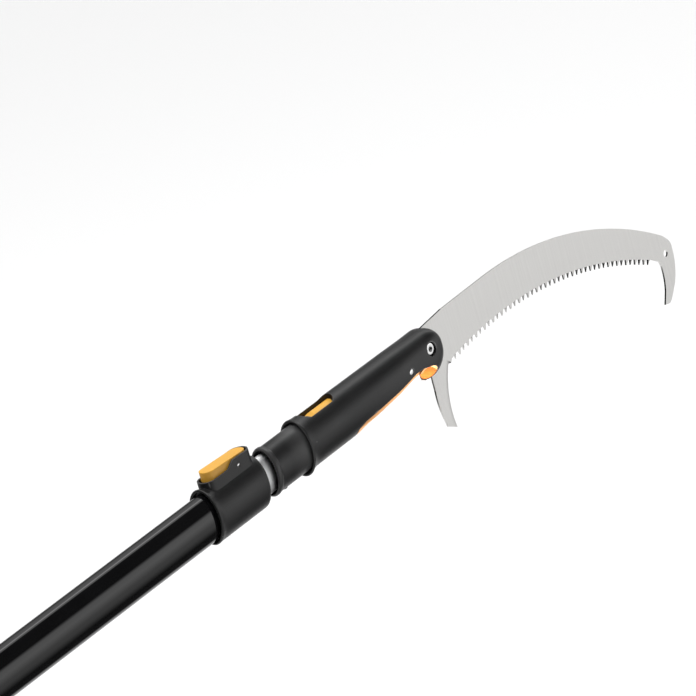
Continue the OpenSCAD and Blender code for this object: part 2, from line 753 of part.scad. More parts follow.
// Outline of everything cut away under the head, moved down by drop
module waist_cut(drop) {
    r = scoop_r - drop * 0.8;
    polygon(concat(
        waist_line(drop),
        arc(scoop_x, scoop_z, r, 65, -30, 10),
        [[scoop_x + r - 1, scoop_z - 8], [scoop_x + r - 5, -40]]));
}

module head_shell() {
    lip = 2 * head_lip;
    oval_loft([
        [head_x, head_h + lip, head_w + lip - 1, head_z - 1],
        [head_x + 1, head_h + lip + 1, head_w + lip, head_z - 1],
        [head_x + 3, head_h + lip + 1, head_w + lip, head_z - 1],
        [head_x + 7, head_h + 1, head_w + 0.6, head_z - 0.3],
        [head_x + 14, head_h, head_w, head_z],
        [waist_x, head_h - 0.4, head_w - 0.2, head_z],
        [nose_x - 40, (head_h + 2 * nose_r) / 2, (head_w + nose_w) / 2, (head_z + nose_z) / 2, 2.2],
        [nose_x - 16, 2 * nose_r, nose_w, nose_z, 2.5],
        for (a = [0 : 10 : 80]) nose_station(sin(a), cos(a)),
        nose_station(1, 0.02)]);
}

// Section of the nose: reach 0 to 1 runs to its front, size 1 to 0 shrinks it
function nose_station(reach, size) =
    let (up = nose_r * pow(size, 0.68), down = nose_r * size)
    [nose_x + nose_r * reach, up + down, nose_w * (0.4 + 0.6 * pow(size, 0.6)),
     nose_z + (up - down) / 2, 2.6 + reach / 2];

module head_housing() {
    color("#1c1c1e") difference() {
        head_shell();
        // socket for the adapter
        oval_bar(head_x - CUT, tenon_x - head_x + CUT + head_gap, adapter_h + 2 * head_gap,
                 adapter_w + 2 * head_gap, adapter_z);
        oval_loft([
            [head_x - CUT, adapter_h + 4, adapter_w + 3.4, adapter_z - 0.4],
            [head_x + 3, adapter_h + 2 * head_gap, adapter_w + 2 * head_gap, adapter_z]]);
        oval_bar(tenon_x - CUT, tenon_len + CUT + head_gap, tenon_h + 2 * head_gap,
                 tenon_w + 2 * head_gap, adapter_z);
        // button window
        stadium_block(window_x, window_len, window_w, 9, 40);
        // blade slot, bolt, nut and pin
        side_plate(-slot_t / 2, slot_t / 2) offset(delta = slot_gap) blade_profile();
        cross_bar(bolt_x, bolt_z, bolt_r + FIT, -nose_w, nose_w);
        cross_bar(bolt_x, bolt_z, bolt_recess_r, -nose_w, -bolt_head_y + bolt_head_t);
        translate([bolt_x, nut_y, bolt_z]) rotate([-90, 0, 0])
            cylinder(h = nose_w, r = (nut_flats + 0.2) / sqrt(3), $fn = 6);
        cross_bar(locating_pin_x, locating_pin_z, locating_pin_r + FIT, -nose_w, nose_w);
        // the waist and the finger scoop
        side_plate(-nose_w, nose_w) waist_cut(0);
    }
}

// Orange lining of the waist and the scoop
module grip_liner() {
    color("#f0a050") difference() {
        intersection() {
            head_shell();
            side_plate(-liner_w / 2, liner_w / 2) difference() {
                offset(delta = -FIT) waist_cut(0);
                waist_cut(liner_t);
            }
        }
        translate([head_x, -nose_w, -60]) cube([head_len + 60, 2 * nose_w, 60 - 19]);
        side_plate(-slot_t / 2, slot_t / 2) offset(delta = slot_gap) blade_profile();
    }
}

// ---------------------------------------------------------------- blade

// Root of the blade inside the head
module tang() {
    polygon([
        [blade_x - 30, nose_z - 7], [blade_x - 30, nose_z + 6], [blade_x - 25, nose_z + 9],
        [blade_x + 17, nose_z + 19], [blade_x + 44, nose_z + 21.4],
        [blade_x + 44, nose_z - 20], [blade_x + 35, nose_z - 22.5], [blade_x + 12, nose_z - 24.5],
        [blade_x + 11, nose_z - 14], [blade_x - 2, nose_z - 5], [blade_x - 12, nose_z - 5.5]]);
}

// One point of the tooth line at angle a from upright, depth above the tips' arc
function tooth_point(a, depth) =
    let (r = tooth_line_r - depth)
    [tooth_mid_x + r * sin(a), tooth_top_z - tooth_line_r + r * cos(a)];

// Blade without its root: curved back, hooked tip, raker teeth, sickle hook
module blade_outline() {
    back_z = back_top_z - back_r;
    pitch = (tooth_end_a - tooth_start_a) / tooth_count;
    tip_x = blade_x + 352;
    tip_z = nose_z - 64;
    polygon(concat(
        [[blade_x + 12, nose_z + 18.4], [blade_x + 44, nose_z + 21.3]],
        crown(back_mid_x, back_z, back_r, 0, 33.3, 20),
        // nose of the blade and its hook
        crown(tip_x - 11.5, tip_z + 1.8, 11.5, 48, 96, 5),
        arc(tip_x - 49, tip_z - 0.5, 49, -3, -33, 6),
        [[tip_x - 16, tip_z - 36], [tip_x - 22, tip_z - 40], [tip_x - 28.2, tip_z - 38.8]],
        arc(tip_x - 69, tip_z - 12, 49, -20, 6, 5),
        [[tip_x - 25.6, tip_z - 0.2]],
        // teeth, from the hook back to the root
        [for (k = [tooth_count : -1 : 1]) each [
            tooth_point(tooth_start_a + pitch * (k - 0.1), -tooth_depth),
            tooth_point(tooth_start_a + pitch * (k - 0.65), 0)]],
        [[blade_x + 43.5, nose_z - 19.5], [blade_x + 41, nose_z - 19.5],
         [blade_x + 39, nose_z - 22.1], [blade_x + 35.6, nose_z - 22.4]],
        // sickle hook
        arc(blade_x + 95, nose_z - 59.5 + 46 - sickle_len, 70, 149, 190, 6),
        [[blade_x + 14.6, nose_z - 20 - sickle_len]],
        arc(blade_x + 81, nose_z + 4 - sickle_len, 70, 197, 173, 5),
        [[blade_x + 11.8, nose_z - 22]]));
}

module blade_profile() {
    tang();
    blade_outline();
}

module saw_blade() {
    color("#c9c9c9") difference() {
        side_plate(-blade_t / 2, blade_t / 2) blade_profile();
        cross_bar(bolt_x, bolt_z, bolt_r + FIT, -nose_w, nose_w);
        cross_bar(locating_pin_x, locating_pin_z, locating_pin_r + FIT, -nose_w, nose_w);
        cross_bar(blade_x + 341.2, nose_z - 63.9, tip_hole_r, -nose_w, nose_w);
    }
}

module blade_bolt() {
    color("silver") difference() {
        union() {
            cross_bar(bolt_x, bolt_z, bolt_head_r, -bolt_head_y, -bolt_head_y + bolt_head_t);
            cross_bar(bolt_x, bolt_z, bolt_r, -bolt_head_y + CUT, nut_y + nut_t);
        }
        translate([bolt_x, -bolt_head_y - CUT, bolt_z]) rotate([-90, 0, 0])
            cylinder(h = CUT + 2, r = 2.5, $fn = 6);
    }
}

module blade_nut() {
    color("silver") difference() {
        translate([bolt_x, nut_y, bolt_z]) rotate([-90, 0, 0])
            cylinder(h = nut_t, r = nut_flats / sqrt(3), $fn = 6);
        cross_bar(bolt_x, bolt_z, bolt_r + FIT, 0, nose_w);
    }
}

module locating_pin() {
    reach = nose_w / 2 - 0.2;
    color("silver") cross_bar(locating_pin_x, locating_pin_z, locating_pin_r, -reach, reach);
}

outer_tube();
hand_grip();
end_cap();
end_cap_screw();
clamp_collar();
collar_bushing();
collar_screw();
lever_pin();
cam_lever();
brake_shoe();
shoe_pad();
inner_tube();
tube_guide();
guide_pin();
adapter();
adapter_rivet();
latch_button();
latch_spring();
head_housing();
grip_liner();
saw_blade();
blade_bolt();
blade_nut();
locating_pin();
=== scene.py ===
"""Looks of a telescoping pole saw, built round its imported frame.

Each sub-assembly is a class whose fields are its sizes in millimetres. Places along the
pole come from the frame's own boxes. The helpers at the top turn millimetres to metres.
"""
import json
import logging
import math
from dataclasses import dataclass
from enum import Enum
from typing import Sequence

import bmesh
import bpy
from mathutils import Matrix, Vector

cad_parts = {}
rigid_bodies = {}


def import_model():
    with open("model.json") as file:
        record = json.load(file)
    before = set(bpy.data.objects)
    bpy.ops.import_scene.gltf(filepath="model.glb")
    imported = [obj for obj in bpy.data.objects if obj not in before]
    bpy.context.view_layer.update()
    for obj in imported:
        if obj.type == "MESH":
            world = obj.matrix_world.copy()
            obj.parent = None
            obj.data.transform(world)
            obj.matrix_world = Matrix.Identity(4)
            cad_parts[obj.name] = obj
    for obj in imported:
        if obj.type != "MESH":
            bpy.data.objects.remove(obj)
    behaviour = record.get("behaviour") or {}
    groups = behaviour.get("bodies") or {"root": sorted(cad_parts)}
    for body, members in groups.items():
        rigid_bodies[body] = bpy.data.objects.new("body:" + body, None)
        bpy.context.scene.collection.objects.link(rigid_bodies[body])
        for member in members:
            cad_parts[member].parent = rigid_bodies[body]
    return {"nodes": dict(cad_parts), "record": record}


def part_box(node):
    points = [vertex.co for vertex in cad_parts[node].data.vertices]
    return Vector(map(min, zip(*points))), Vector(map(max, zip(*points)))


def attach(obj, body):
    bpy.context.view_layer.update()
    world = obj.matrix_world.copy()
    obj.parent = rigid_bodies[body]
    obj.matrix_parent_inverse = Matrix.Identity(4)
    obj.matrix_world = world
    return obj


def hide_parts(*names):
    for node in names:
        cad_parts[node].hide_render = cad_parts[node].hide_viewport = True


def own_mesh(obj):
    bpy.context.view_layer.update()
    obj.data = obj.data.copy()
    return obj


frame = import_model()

log = logging.getLogger("pole_saw")

MM = 0.001  # a millimetre, in the scene's metres
SIDES = 128  # points round an oval body
FIT = 0.05  # play between pieces that are pressed together
TRIANGLE_BUDGET = 160_000  # most triangles that a moulded piece keeps
TUBE_WALL = 1.3
BOLT_WAY = 3.05  # radius of the blade bolt's hole
PIN_WAY = 2.75  # radius of the locating pin's hole
BOLT_AHEAD = 7.5  # the bolt's place ahead of the blade's datum
BOLT_ABOVE = 4.2  # the bolt's place above the blade's datum
Flat = tuple[float, float]
Triple = tuple[float, float, float]
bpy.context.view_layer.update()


class Body(Enum):
    """The moving bodies of the frame."""

    HANDLE = "handle"
    LEVER = "lever"
    BRAKE = "brake"
    EXTENSION = "extension"
    LATCH = "latch"


class Cut(Enum):
    """What a second shape does to a first one."""

    AWAY = "DIFFERENCE"
    JOIN = "UNION"
    COMMON = "INTERSECT"


# ------------------------------------------------------------------ shapes


def span(node: str) -> tuple[Vector, Vector]:
    """Lowest and highest corner of a CAD node, in millimetres."""
    low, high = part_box(node)
    return low / MM, high / MM


def middle(node: str) -> Vector:
    """Middle of a CAD node's box, in millimetres."""
    low, high = span(node)
    return (low + high) / 2


@dataclass(frozen=True)
class Section:
    """One upright oval section of a body that runs along the pole.

    Args:
        x: Place along the pole.
        height: Full height of the oval.
        width: Full width of the oval.
        centre: Height of its middle above the pole's axis.
        square: 2 for an ellipse, more for a squarer oval.
    """

    x: float
    height: float
    width: float
    centre: float = 0.0
    square: float = 2.0

    def ring(self, sides: int) -> list[Triple]:
        """Points round the oval.

        Args:
            sides: Number of points.

        Returns:
            The points, starting at the side of the oval.
        """
        power = 2 / self.square
        points = []
        for i in range(sides):
            angle = math.tau * i / sides
            c, s = math.cos(angle), math.sin(angle)
            points.append((
                self.x,
                self.width / 2 * math.copysign(abs(c) ** power, c),
                self.centre + self.height / 2 * math.copysign(abs(s) ** power, s),
            ))
        return points

    def grown(self, by: float, x: float | None = None) -> "Section":
        """The same section, larger by a margin all round, and moved to x if it is given.

        Args:
            by: Margin, in millimetres, less than 0 for a smaller section.
            x: Place along the pole, or None for the section's own.

        Returns:
            The new section.
        """
        place = self.x if x is None else x
        height, width = (max(0.1, size + 2 * by) for size in (self.height, self.width))
        return Section(place, height, width, self.centre, self.square)


def link(name: str, data: bpy.types.ID) -> bpy.types.Object:
    """Puts a new object in the scene.

    Args:
        name: Name of the object.
        data: Its mesh, camera or light.

    Returns:
        The object.
    """
    obj = bpy.data.objects.new(name, data)
    bpy.context.scene.collection.objects.link(obj)
    return obj


def solid(name: str, points: Sequence[Triple], faces: Sequence[Sequence[int]]) -> bpy.types.Object:
    """Makes a closed mesh object from points in millimetres.

    Args:
        name: Name of the object.
        points: Corners, in millimetres.
        faces: Corner numbers of each face.

    Returns:
        The object, at the origin, with its faces outwards.
    """
    mesh = bpy.data.meshes.new(name)
    mesh.from_pydata([tuple(c * MM for c in p) for p in points], [], faces)
    work = bmesh.new()
    work.from_mesh(mesh)
    bmesh.ops.remove_doubles(work, verts=work.verts, dist=1e-7)
    bmesh.ops.recalc_face_normals(work, faces=work.faces)
    work.to_mesh(mesh)
    work.free()
    return link(name, mesh)


def skin(rings: int, sides: int, looped: bool) -> list[tuple[int, ...]]:
    """Faces between neighbouring rings of points.

    Args:
        rings: Number of rings.
        sides: Points in each ring.
        looped: True where the last ring joins the first one, as in a pipe.

    Returns:
        Four corner numbers per face, and two end faces where it isn't looped.
    """
    faces = []
    for i in range(rings if looped else rings - 1):
        a, b = i * sides, (i + 1) % rings * sides
        for j in range(sides):
            k = (j + 1) % sides
            faces.append((a + j, b + j, b + k, a + k))
    if not looped:
        faces.append(tuple(range(sides)))
        faces.append(tuple(reversed(range((rings - 1) * sides, rings * sides))))
    return faces


def loft(name: str, sections: Sequence[Section], sides: int = SIDES) -> bpy.types.Object:
    """Closed body through sections."""
    points = [p for s in sections for p in s.ring(sides)]
    return solid(name, points, skin(len(sections), sides, looped=False))


def sleeve(name: str, outer: Sequence[Section], inner: Sequence[Section],
           sides: int = SIDES) -> bpy.types.Object:
    """Pipe with an outer and an inner wall, both given from rear to front.

    Args:
        name: Name of the object.
        outer: Sections of the outer wall.
        inner: Sections of the bore.
        sides: Points in each section.

    Returns:
        The closed pipe.
    """
    rings = [*outer, *reversed(inner)]
    points = [p for s in rings for p in s.ring(sides)]
    return solid(name, points, skin(len(rings), sides, looped=True))


def plate(name: str, outline: Sequence[Flat], y0: float, y1: float) -> bpy.types.Object:
    """Flat outline in the XZ plane, thickened along Y."""
    points = [(x, y, z) for y in (y0, y1) for x, z in outline]
    return solid(name, points, skin(2, len(outline), looped=False))


def tower(name: str, outline: Sequence[Flat], z0: float, z1: float) -> bpy.types.Object:
    """Flat outline in the XY plane, thickened along Z."""
    points = [(x, y, z) for z in (z0, z1) for x, y in outline]
    return solid(name, points, skin(2, len(outline), looped=False))


def turned(name: str, profile: Sequence[Flat], start: Triple, axis: Triple,
           sides: int = 48) -> bpy.types.Object:
    """Solid turned about an axis.

    Args:
        name: Name of the object.
        profile: Radius and distance along the axis, from one end to the other.
        start: Where the distance along the axis is 0.
        axis: Direction of the axis.
        sides: Facets round the axis.

    Returns:
        The closed object.
    """
    frame_of = Vector(axis).normalized().to_track_quat("Z", "Y").to_matrix()
    points = []
    for radius, along in profile:
        for i in range(sides):
            angle = math.tau * (i + 0.5) / sides
            flat = Vector((radius * math.cos(angle), radius * math.sin(angle), along))
            points.append(tuple(Vector(start) + frame_of @ flat))
    return solid(name, points, skin(len(profile), sides, looped=False))


def across(name: str, profile: Sequence[Flat], spot: Vector, y: float = 0.0,
           sides: int = 48) -> bpy.types.Object:
    """Solid turned about a line across the pole that passes a spot, its distances from y."""
    return turned(name, profile, (spot.x, y, spot.z), (0, 1, 0), sides)


def arc(x: float, z: float, radius: float, a: float, b: float, steps: int) -> list[Flat]:
    """Points of an arc from angle a to angle b, in degrees from +X."""
    turns = [math.radians(a + (b - a) * i / steps) for i in range(steps + 1)]
    return [(x + radius * math.cos(t), z + radius * math.sin(t)) for t in turns]


def crown(x: float, z: float, radius: float, a: float, b: float, steps: int) -> list[Flat]:
    """Points of an arc by the angle from straight up, forwards positive, in degrees."""
    return arc(x, z, radius, 90 - a, 90 - b, steps)


def stadium(x: float, length: float, width: float, steps: int = 24) -> list[Flat]:
    """Outline of a slot with round ends, its middle at x."""
    r, reach = width / 2, (length - width) / 2
    return [*arc(x + reach, 0, r, -90, 90, steps), *arc(x - reach, 0, r, 90, 270, steps)]


def oblong(x0: float, z0: float, x1: float, z1: float) -> list[Flat]:
    """Outline of an oblong between two corners."""
    return [(x0, z0), (x1, z0), (x1, z1), (x0, z1)]


def bake(obj: bpy.types.Object) -> bpy.types.Object:
    """Turns the object's modifiers into its plain mesh, and takes them off.

    Args:
        obj: The object.

    Returns:
        The same object.
    """
    graph = bpy.context.evaluated_depsgraph_get()
    mesh = bpy.data.meshes.new_from_object(obj.evaluated_get(graph))
    obj.modifiers.clear()
    obj.data = mesh
    return obj


def shape(obj: bpy.types.Object, how: Cut, *tools: bpy.types.Object) -> bpy.types.Object:
    """Cuts, joins or limits an object with others, which are used up.

    Args:
        obj: The object that stays.
        how: What the tools do to it.
        tools: The objects that act on it.

    Returns:
        The first object.
    """
    for tool in tools:
        modifier = obj.modifiers.new("shape", "BOOLEAN")
        modifier.object = tool
        modifier.operation = how.value
        modifier.solver = "MANIFOLD"
    bake(obj)
    for tool in tools:
        bpy.data.objects.remove(tool)
    return obj


def mould(obj: bpy.types.Object, grain: float, passes: int) -> bpy.types.Object:
    """Rounds every edge as a mould does, by an even mesh that is smoothed.

    Args:
        obj: The object.
        grain: Size of the even mesh, in millimetres.
        passes: Rounds of smoothing, which widen the rounded edges.

    Returns:
        The same object.
    """
    even = obj.modifiers.new("even", "REMESH")
    even.mode = "VOXEL"
    even.voxel_size = grain * MM
    even.use_smooth_shade = True
    ease = obj.modifiers.new("ease", "SMOOTH")
    ease.factor = 0.5
    ease.iterations = passes
    bake(obj)
    share = TRIANGLE_BUDGET / (2 * len(obj.data.polygons))
    if share < 1:
        thin = obj.modifiers.new("thin", "DECIMATE")
        thin.ratio = share
        bake(obj)
    return obj


def shade(obj: bpy.types.Object, crease: float = 32.0) -> bpy.types.Object:
    """Smooth shading, with edges sharper than crease degrees left sharp.

    Args:
        obj: The object.
        crease: Angle, in degrees, from which an edge stays sharp.

    Returns:
        The same object.
    """
    obj.data.shade_smooth()
    obj.data.set_sharp_from_angle(angle=math.radians(crease))
    flats = obj.modifiers.new("flats", "WEIGHTED_NORMAL")
    flats.keep_sharp = True
    return bake(obj)


# ------------------------------------------------------------------ nodes


def add_node(tree: bpy.types.NodeTree, kind: str, inputs: dict[object, object] | None = None,
             **settings: object) -> bpy.types.Node:
    """Adds a node to a tree.

    Args:
        tree: The tree.
        kind: Type of the node.
        inputs: Sockets or values by input name or number.
        settings: The node's own settings.

    Returns:
        The node.
    """
    node = tree.nodes.new(kind)
    for name, value in settings.items():
        setattr(node, name, value)
    for key, value in (inputs or {}).items():
        if isinstance(value, bpy.types.NodeSocket):
            tree.links.new(value, node.inputs[key])
        else:
            node.inputs[key].default_value = value
    return node


def reckon(tree: bpy.types.NodeTree, operation: str, *values: object) -> bpy.types.NodeSocket:
    """Result of a sum on numbers or sockets."""
    return add_node(tree, "ShaderNodeMath", dict(enumerate(values)), operation=operation).outputs[0]


def spread(tree: bpy.types.NodeTree, value: bpy.types.NodeSocket, low: float, high: float,
           first: float = 0.0, last: float = 1.0) -> bpy.types.NodeSocket:
    """Runs from first to last while a value runs from low to high.

    Args:
        tree: The tree.
        value: What is followed.
        low: Value at which the result is first.
        high: Value at which the result is last.
        first: Result at and before low.
        last: Result at and after high.

    Returns:
        The result.
    """
    made = add_node(tree, "ShaderNodeMapRange", {
        "Value": value, "From Min": low, "From Max": high, "To Min": first, "To Max": last})
    return made.outputs["Result"]


def blend(tree: bpy.types.NodeTree, share: bpy.types.NodeSocket, under: bpy.types.NodeSocket,
          over: Sequence[float]) -> bpy.types.NodeSocket:
    """A colour that goes from a socket's to a fixed one, by share."""
    mix = add_node(tree, "ShaderNodeMix", {"Factor": share, "A": under, "B": over}, data_type="RGBA")
    return mix.outputs["Result"]


# ------------------------------------------------------------------ finishes


@dataclass(frozen=True)
class Grain:
    """Fine relief of a surface.

    Args:
        scale: Marks per metre.
        height: Depth of the relief, in millimetres.
        stretch: Share of the scale along X, Y and Z: a small one draws the marks out.
        detail: Octaves of smaller marks.
    """

    scale: float
    height: float
    stretch: Triple = (1.0, 1.0, 1.0)
    detail: float = 3.0


@dataclass(frozen=True)
class Finish:
    """A surface: its colour, gloss and grain, with painted edge highlights and painted shade.

    Args:
        slot: Name of the record's material slot.
        colour: Linear base colour.
        gloss: Lowest and highest roughness over the surface.
        grain: Fine relief.
        metallic: 1 for bare metal.
        mottle: Share by which the colour changes from place to place.
        patch: Patches of changed colour and gloss per metre.
        sheen: Weight of a dusty sheen.
        specular: Level of the plain reflection.
        scratch: Share of the gloss that long fine scratches take.
        rear_shade: Share of the colour left on narrow faces that look rearwards and upwards, darkened as
            painted shade.
        streak: Share of the patches' scale along X, Y and Z.
        rim: How far the sharp outer edges go towards a light grey, a painted highlight.
    """

    slot: str
    colour: Triple
    gloss: Flat
    grain: Grain
    metallic: float = 0.0
    mottle: float = 0.08
    patch: float = 45.0
    sheen: float = 0.0
    specular: float = 0.5
    scratch: float = 0.1
    rear_shade: float = 1.0
    streak: Triple = (1.0, 1.0, 1.0)
    rim: float = 0.0

    def material(self) -> bpy.types.Material:
        """The procedural material, made once and then shared."""
        found = bpy.data.materials.get("finish_" + self.slot)
        return found or self._build()

    def _build(self) -> bpy.types.Material:
        """Makes the material's nodes.

        Returns:
            The material.
        """
        made = bpy.data.materials.new("finish_" + self.slot)
        made.use_nodes = True
        tree = made.node_tree
        tree.nodes.clear()
        place = add_node(tree, "ShaderNodeTexCoord").outputs["Object"]
        marks = self._noise(tree, place, self.grain.scale, self.grain.stretch, self.grain.detail)
        bump = add_node(tree, "ShaderNodeBump", {
            "Strength": 1.0, "Distance": self.grain.height * MM, "Height": marks})
        patches = self._noise(tree, place, self.patch, self.streak, 4.0)
        lines = self._noise(tree, place, 700.0, (0.03, 1.0, 1.0), 2.0)
        colour = self._colour(tree, patches)
        # painted shade: narrow faces that look rearwards and upwards are darkened
        if self.rear_shade < 1:
            colour = self._painted_rear_shade(tree, colour)
        # painted highlight on the sharp outer edges
        if self.rim:
            colour = self._painted_edge_highlight(tree, colour)
        surface = add_node(tree, "ShaderNodeBsdfPrincipled", {
            "Base Color": colour, "Roughness": self._roughness(tree, patches, lines),
            "Normal": bump.outputs["Normal"], "Metallic": self.metallic, "Specular IOR Level": self.specular,
            "Sheen Weight": self.sheen, "Sheen Roughness": 0.4})
        add_node(tree, "ShaderNodeOutputMaterial", {"Surface": surface.outputs["BSDF"]})
        return made

    @staticmethod
    def _noise(tree: bpy.types.NodeTree, place: bpy.types.NodeSocket, scale: float,
               stretch: Triple, detail: float) -> bpy.types.NodeSocket:
        """A noise on the object's own coordinates.

        Args:
            tree: The material's tree.
            place: The object's coordinates.
            scale: Marks per metre.
            stretch: Share of the scale along X, Y and Z.
            detail: Octaves of smaller marks.

        Returns:
            The noise's value.
        """
        mapping = add_node(tree, "ShaderNodeMapping", {"Vector": place, "Scale": stretch})
        noise = add_node(tree, "ShaderNodeTexNoise", {
            "Vector": mapping.outputs["Vector"], "Scale": scale, "Detail": detail})
        return noise.outputs["Fac"]

    def _colour(self, tree: bpy.types.NodeTree, patches: bpy.types.NodeSocket) -> bpy.types.NodeSocket:
        """The base colour, a little darker and lighter in patches.

        Args:
            tree: The material's tree.
            patches: The noise that the patches follow.

        Returns:
            The colour.
        """
        ramp = add_node(tree, "ShaderNodeValToRGB", {"Fac": patches})
        for element, place, share in zip(ramp.color_ramp.elements, (0.35, 0.65), (-1, 1)):
            element.position = place
            element.color = (*(min(1.0, c * (1 + share * self.mottle)) for c in self.colour), 1.0)
        return ramp.outputs["Color"]

    def _painted_edge_highlight(self, tree: bpy.types.NodeTree, colour: bpy.types.NodeSocket) -> bpy.types.NodeSocket:
        """Painted highlight: lightens the sharp outer edges towards a light grey.

        Args:
            tree: The material's tree.
            colour: The colour away from the edges.

        Returns:
            The colour.
        """
        edges = add_node(tree, "ShaderNodeNewGeometry").outputs["Pointiness"]
        return blend(tree, spread(tree, edges, 0.515, 0.56, 0.0, self.rim), colour, (0.5, 0.5, 0.5, 1.0))

    def _painted_rear_shade(self, tree: bpy.types.NodeTree, colour: bpy.types.NodeSocket) -> bpy.types.NodeSocket:
        """Painted shade: darkens the narrow faces that look rearwards and upwards.

        Args:
            tree: The material's tree.
            colour: The colour of the other faces.

        Returns:
            The colour.
        """
        normal = add_node(tree, "ShaderNodeNewGeometry").outputs["True Normal"]
        x, y, z = add_node(tree, "ShaderNodeSeparateXYZ", {0: normal}).outputs
        rear = spread(tree, x, -0.04, -0.09)
        narrow = spread(tree, reckon(tree, "ABSOLUTE", y), 0.6, 0.4)
        rising = spread(tree, z, -0.15, 0.1)
        share = reckon(tree, "MULTIPLY", reckon(tree, "MULTIPLY", rear, narrow), rising)
        return blend(tree, share, colour, (*(c * self.rear_shade for c in self.colour), 1.0))

    def _roughness(self, tree: bpy.types.NodeTree, patches: bpy.types.NodeSocket,
                   lines: bpy.types.NodeSocket) -> bpy.types.NodeSocket:
        """The roughness, from patches and long fine scratches.

        Args:
            tree: The material's tree.
            patches: The noise that the patches follow.
            lines: The noise that the scratches follow.

        Returns:
            The roughness.
        """
        low, high = self.gloss
        even = spread(tree, patches, 0.3, 0.7, low, high)
        return reckon(tree, "MULTIPLY_ADD", lines, self.scratch * high, even)


MOULD_GRAIN = Grain(scale=1500, height=0.03)
COATED_TUBE = Finish("coated_tube", (0.004, 0.004, 0.0045), (0.02, 0.05),
                     Grain(900, 0.0015, (0.3, 1, 1)), mottle=0.15, scratch=0.04)
BARE_TUBE = Finish("bare_tube", (0.94, 0.945, 0.95), (0.45, 0.55), Grain(1400, 0.006, (0.02, 1, 1)),
                   metallic=1.0, mottle=0.03)
# black plastic with a painted highlight on its sharp edges
BLACK_PLASTIC = Finish("black_plastic", (0.012, 0.012, 0.0123), (0.34, 0.41), MOULD_GRAIN,
                       specular=0.45, rim=0.2)
DARK_PLASTIC = Finish("dark_plastic", (0.05, 0.05, 0.053), (0.45, 0.55), MOULD_GRAIN)
BUSHING_PLASTIC = Finish("bushing_plastic", (0.68, 0.65, 0.58), (0.35, 0.45), MOULD_GRAIN)
ORANGE_PLASTIC = Finish("orange_plastic", (0.8, 0.42, 0.055), (0.3, 0.38), MOULD_GRAIN, mottle=0.04)
ORANGE_LINER = Finish("orange_liner", (0.9, 0.45, 0.18), (0.5, 0.62), Grain(2200, 0.04), mottle=0.05,
                      sheen=0.15)
GRIP_RUBBER = Finish("grip_rubber", (0.02, 0.02, 0.021), (0.6, 0.75), Grain(1100, 0.06), sheen=0.1)
PAD_RUBBER = Finish("pad_rubber", (0.015, 0.015, 0.015), (0.7, 0.85), Grain(1600, 0.06))
BRIGHT_STEEL = Finish("bright_steel", (0.85, 0.85, 0.85), (0.14, 0.24), Grain(2500, 0.004),
                      metallic=1.0, mottle=0.03)
BLACK_STEEL = Finish("black_steel", (0.02, 0.02, 0.021), (0.3, 0.4), Grain(2000, 0.02))
# blade steel, its narrow rear-facing faces darkened by painted shade
BLADE_STEEL = Finish("blade_steel", (0.79, 0.782, 0.765), (0.38, 0.46), Grain(1100, 0.012, (1, 1, 0.02)),
                     metallic=1.0, mottle=0.03, patch=30.0, rear_shade=0.03,
                     streak=(12.0, 1.0, 0.4))


# ------------------------------------------------------------------ pieces


def place(obj: bpy.types.Object, body: Body, finish: Finish, *nodes: str) -> bpy.types.Object:
    """Gives a new piece its finish and its body, and hides the CAD nodes that it stands for.

    Args:
        obj: The piece, with no modifiers left.
        body: The body it moves with.
        finish: Its surface.
        nodes: The CAD nodes that it replaces.

    Returns:
        The piece.
    """
    obj.data.materials.clear()
    obj.data.materials.append(finish.material())
    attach(obj, body.value)
    if nodes:
        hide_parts(*nodes)
    log.info("%s: %d faces on %s", obj.name, len(obj.data.polygons), body.value)
    return obj


def dress(node: str, finish: Finish) -> None:
    """Gives a CAD node, which keeps its own mesh, its finish.

    Args:
        node: Name of the node.
        finish: Its surface.
    """
    obj = frame["nodes"][node]
    obj.data.materials.clear()
    obj.data.materials.append(finish.material())
    log.info("%s: kept, %s", node, finish.slot)


class NodeTree:
    """A geometry tree with named inputs that is built step by step."""

    def __init__(self, name: str, inputs: dict[str, str]) -> None:
        """Starts a tree.

        Args:
            name: Name of the tree.
            inputs: Name and socket type of each input.
        """
        self.tree = bpy.data.node_groups.new(name, "GeometryNodeTree")
        self.ids = {}
        for label, kind in inputs.items():
            self.ids[label] = self.tree.interface.new_socket(
                label, in_out="INPUT", socket_type=kind).identifier
        self.tree.interface.new_socket("Geometry", in_out="OUTPUT", socket_type="NodeSocketGeometry")
        self.entry = self.tree.nodes.new("NodeGroupInput")

    def given(self, label: str) -> bpy.types.NodeSocket:
        """The socket of a named input."""
        return self.entry.outputs[label]

    def add(self, kind: str, inputs: dict[object, object] | None = None,
            **settings: object) -> bpy.types.Node:
        """Adds a node to the tree, as add_node does."""
        return add_node(self.tree, kind, inputs, **settings)

    def math(self, operation: str, *values: object) -> bpy.types.NodeSocket:
        """Result of a sum on numbers or sockets of the tree."""
        return reckon(self.tree, operation, *values)

    def finish(self, geometry: bpy.types.NodeSocket) -> None:
        """Ends the tree: copies are made real and the finish goes on.

        Args:
            geometry: What the tree has made.
        """
        real = self.add("GeometryNodeRealizeInstances", {"Geometry": geometry})
        coated = self.add("GeometryNodeSetMaterial",
                          {"Geometry": real.outputs[0], "Material": self.given("Material")})
        self.add("NodeGroupOutput", {0: coated.outputs[0]})

    def run(self, name: str, values: dict[str, object]) -> bpy.types.Object:
        """Makes a plain object from the tree.

        Args:
            name: Name of the object.
            values: Value of each named input.

        Returns:
            The object, with the tree's result as its mesh.
        """
        obj = link(name, bpy.data.meshes.new(name))
        modifier = obj.modifiers.new(self.tree.name, "NODES")
        modifier.node_group = self.tree
        for label, value in values.items():
            modifier[self.ids[label]] = value
        obj.update_tag()
        bpy.context.view_layer.update()
        return bake(obj)


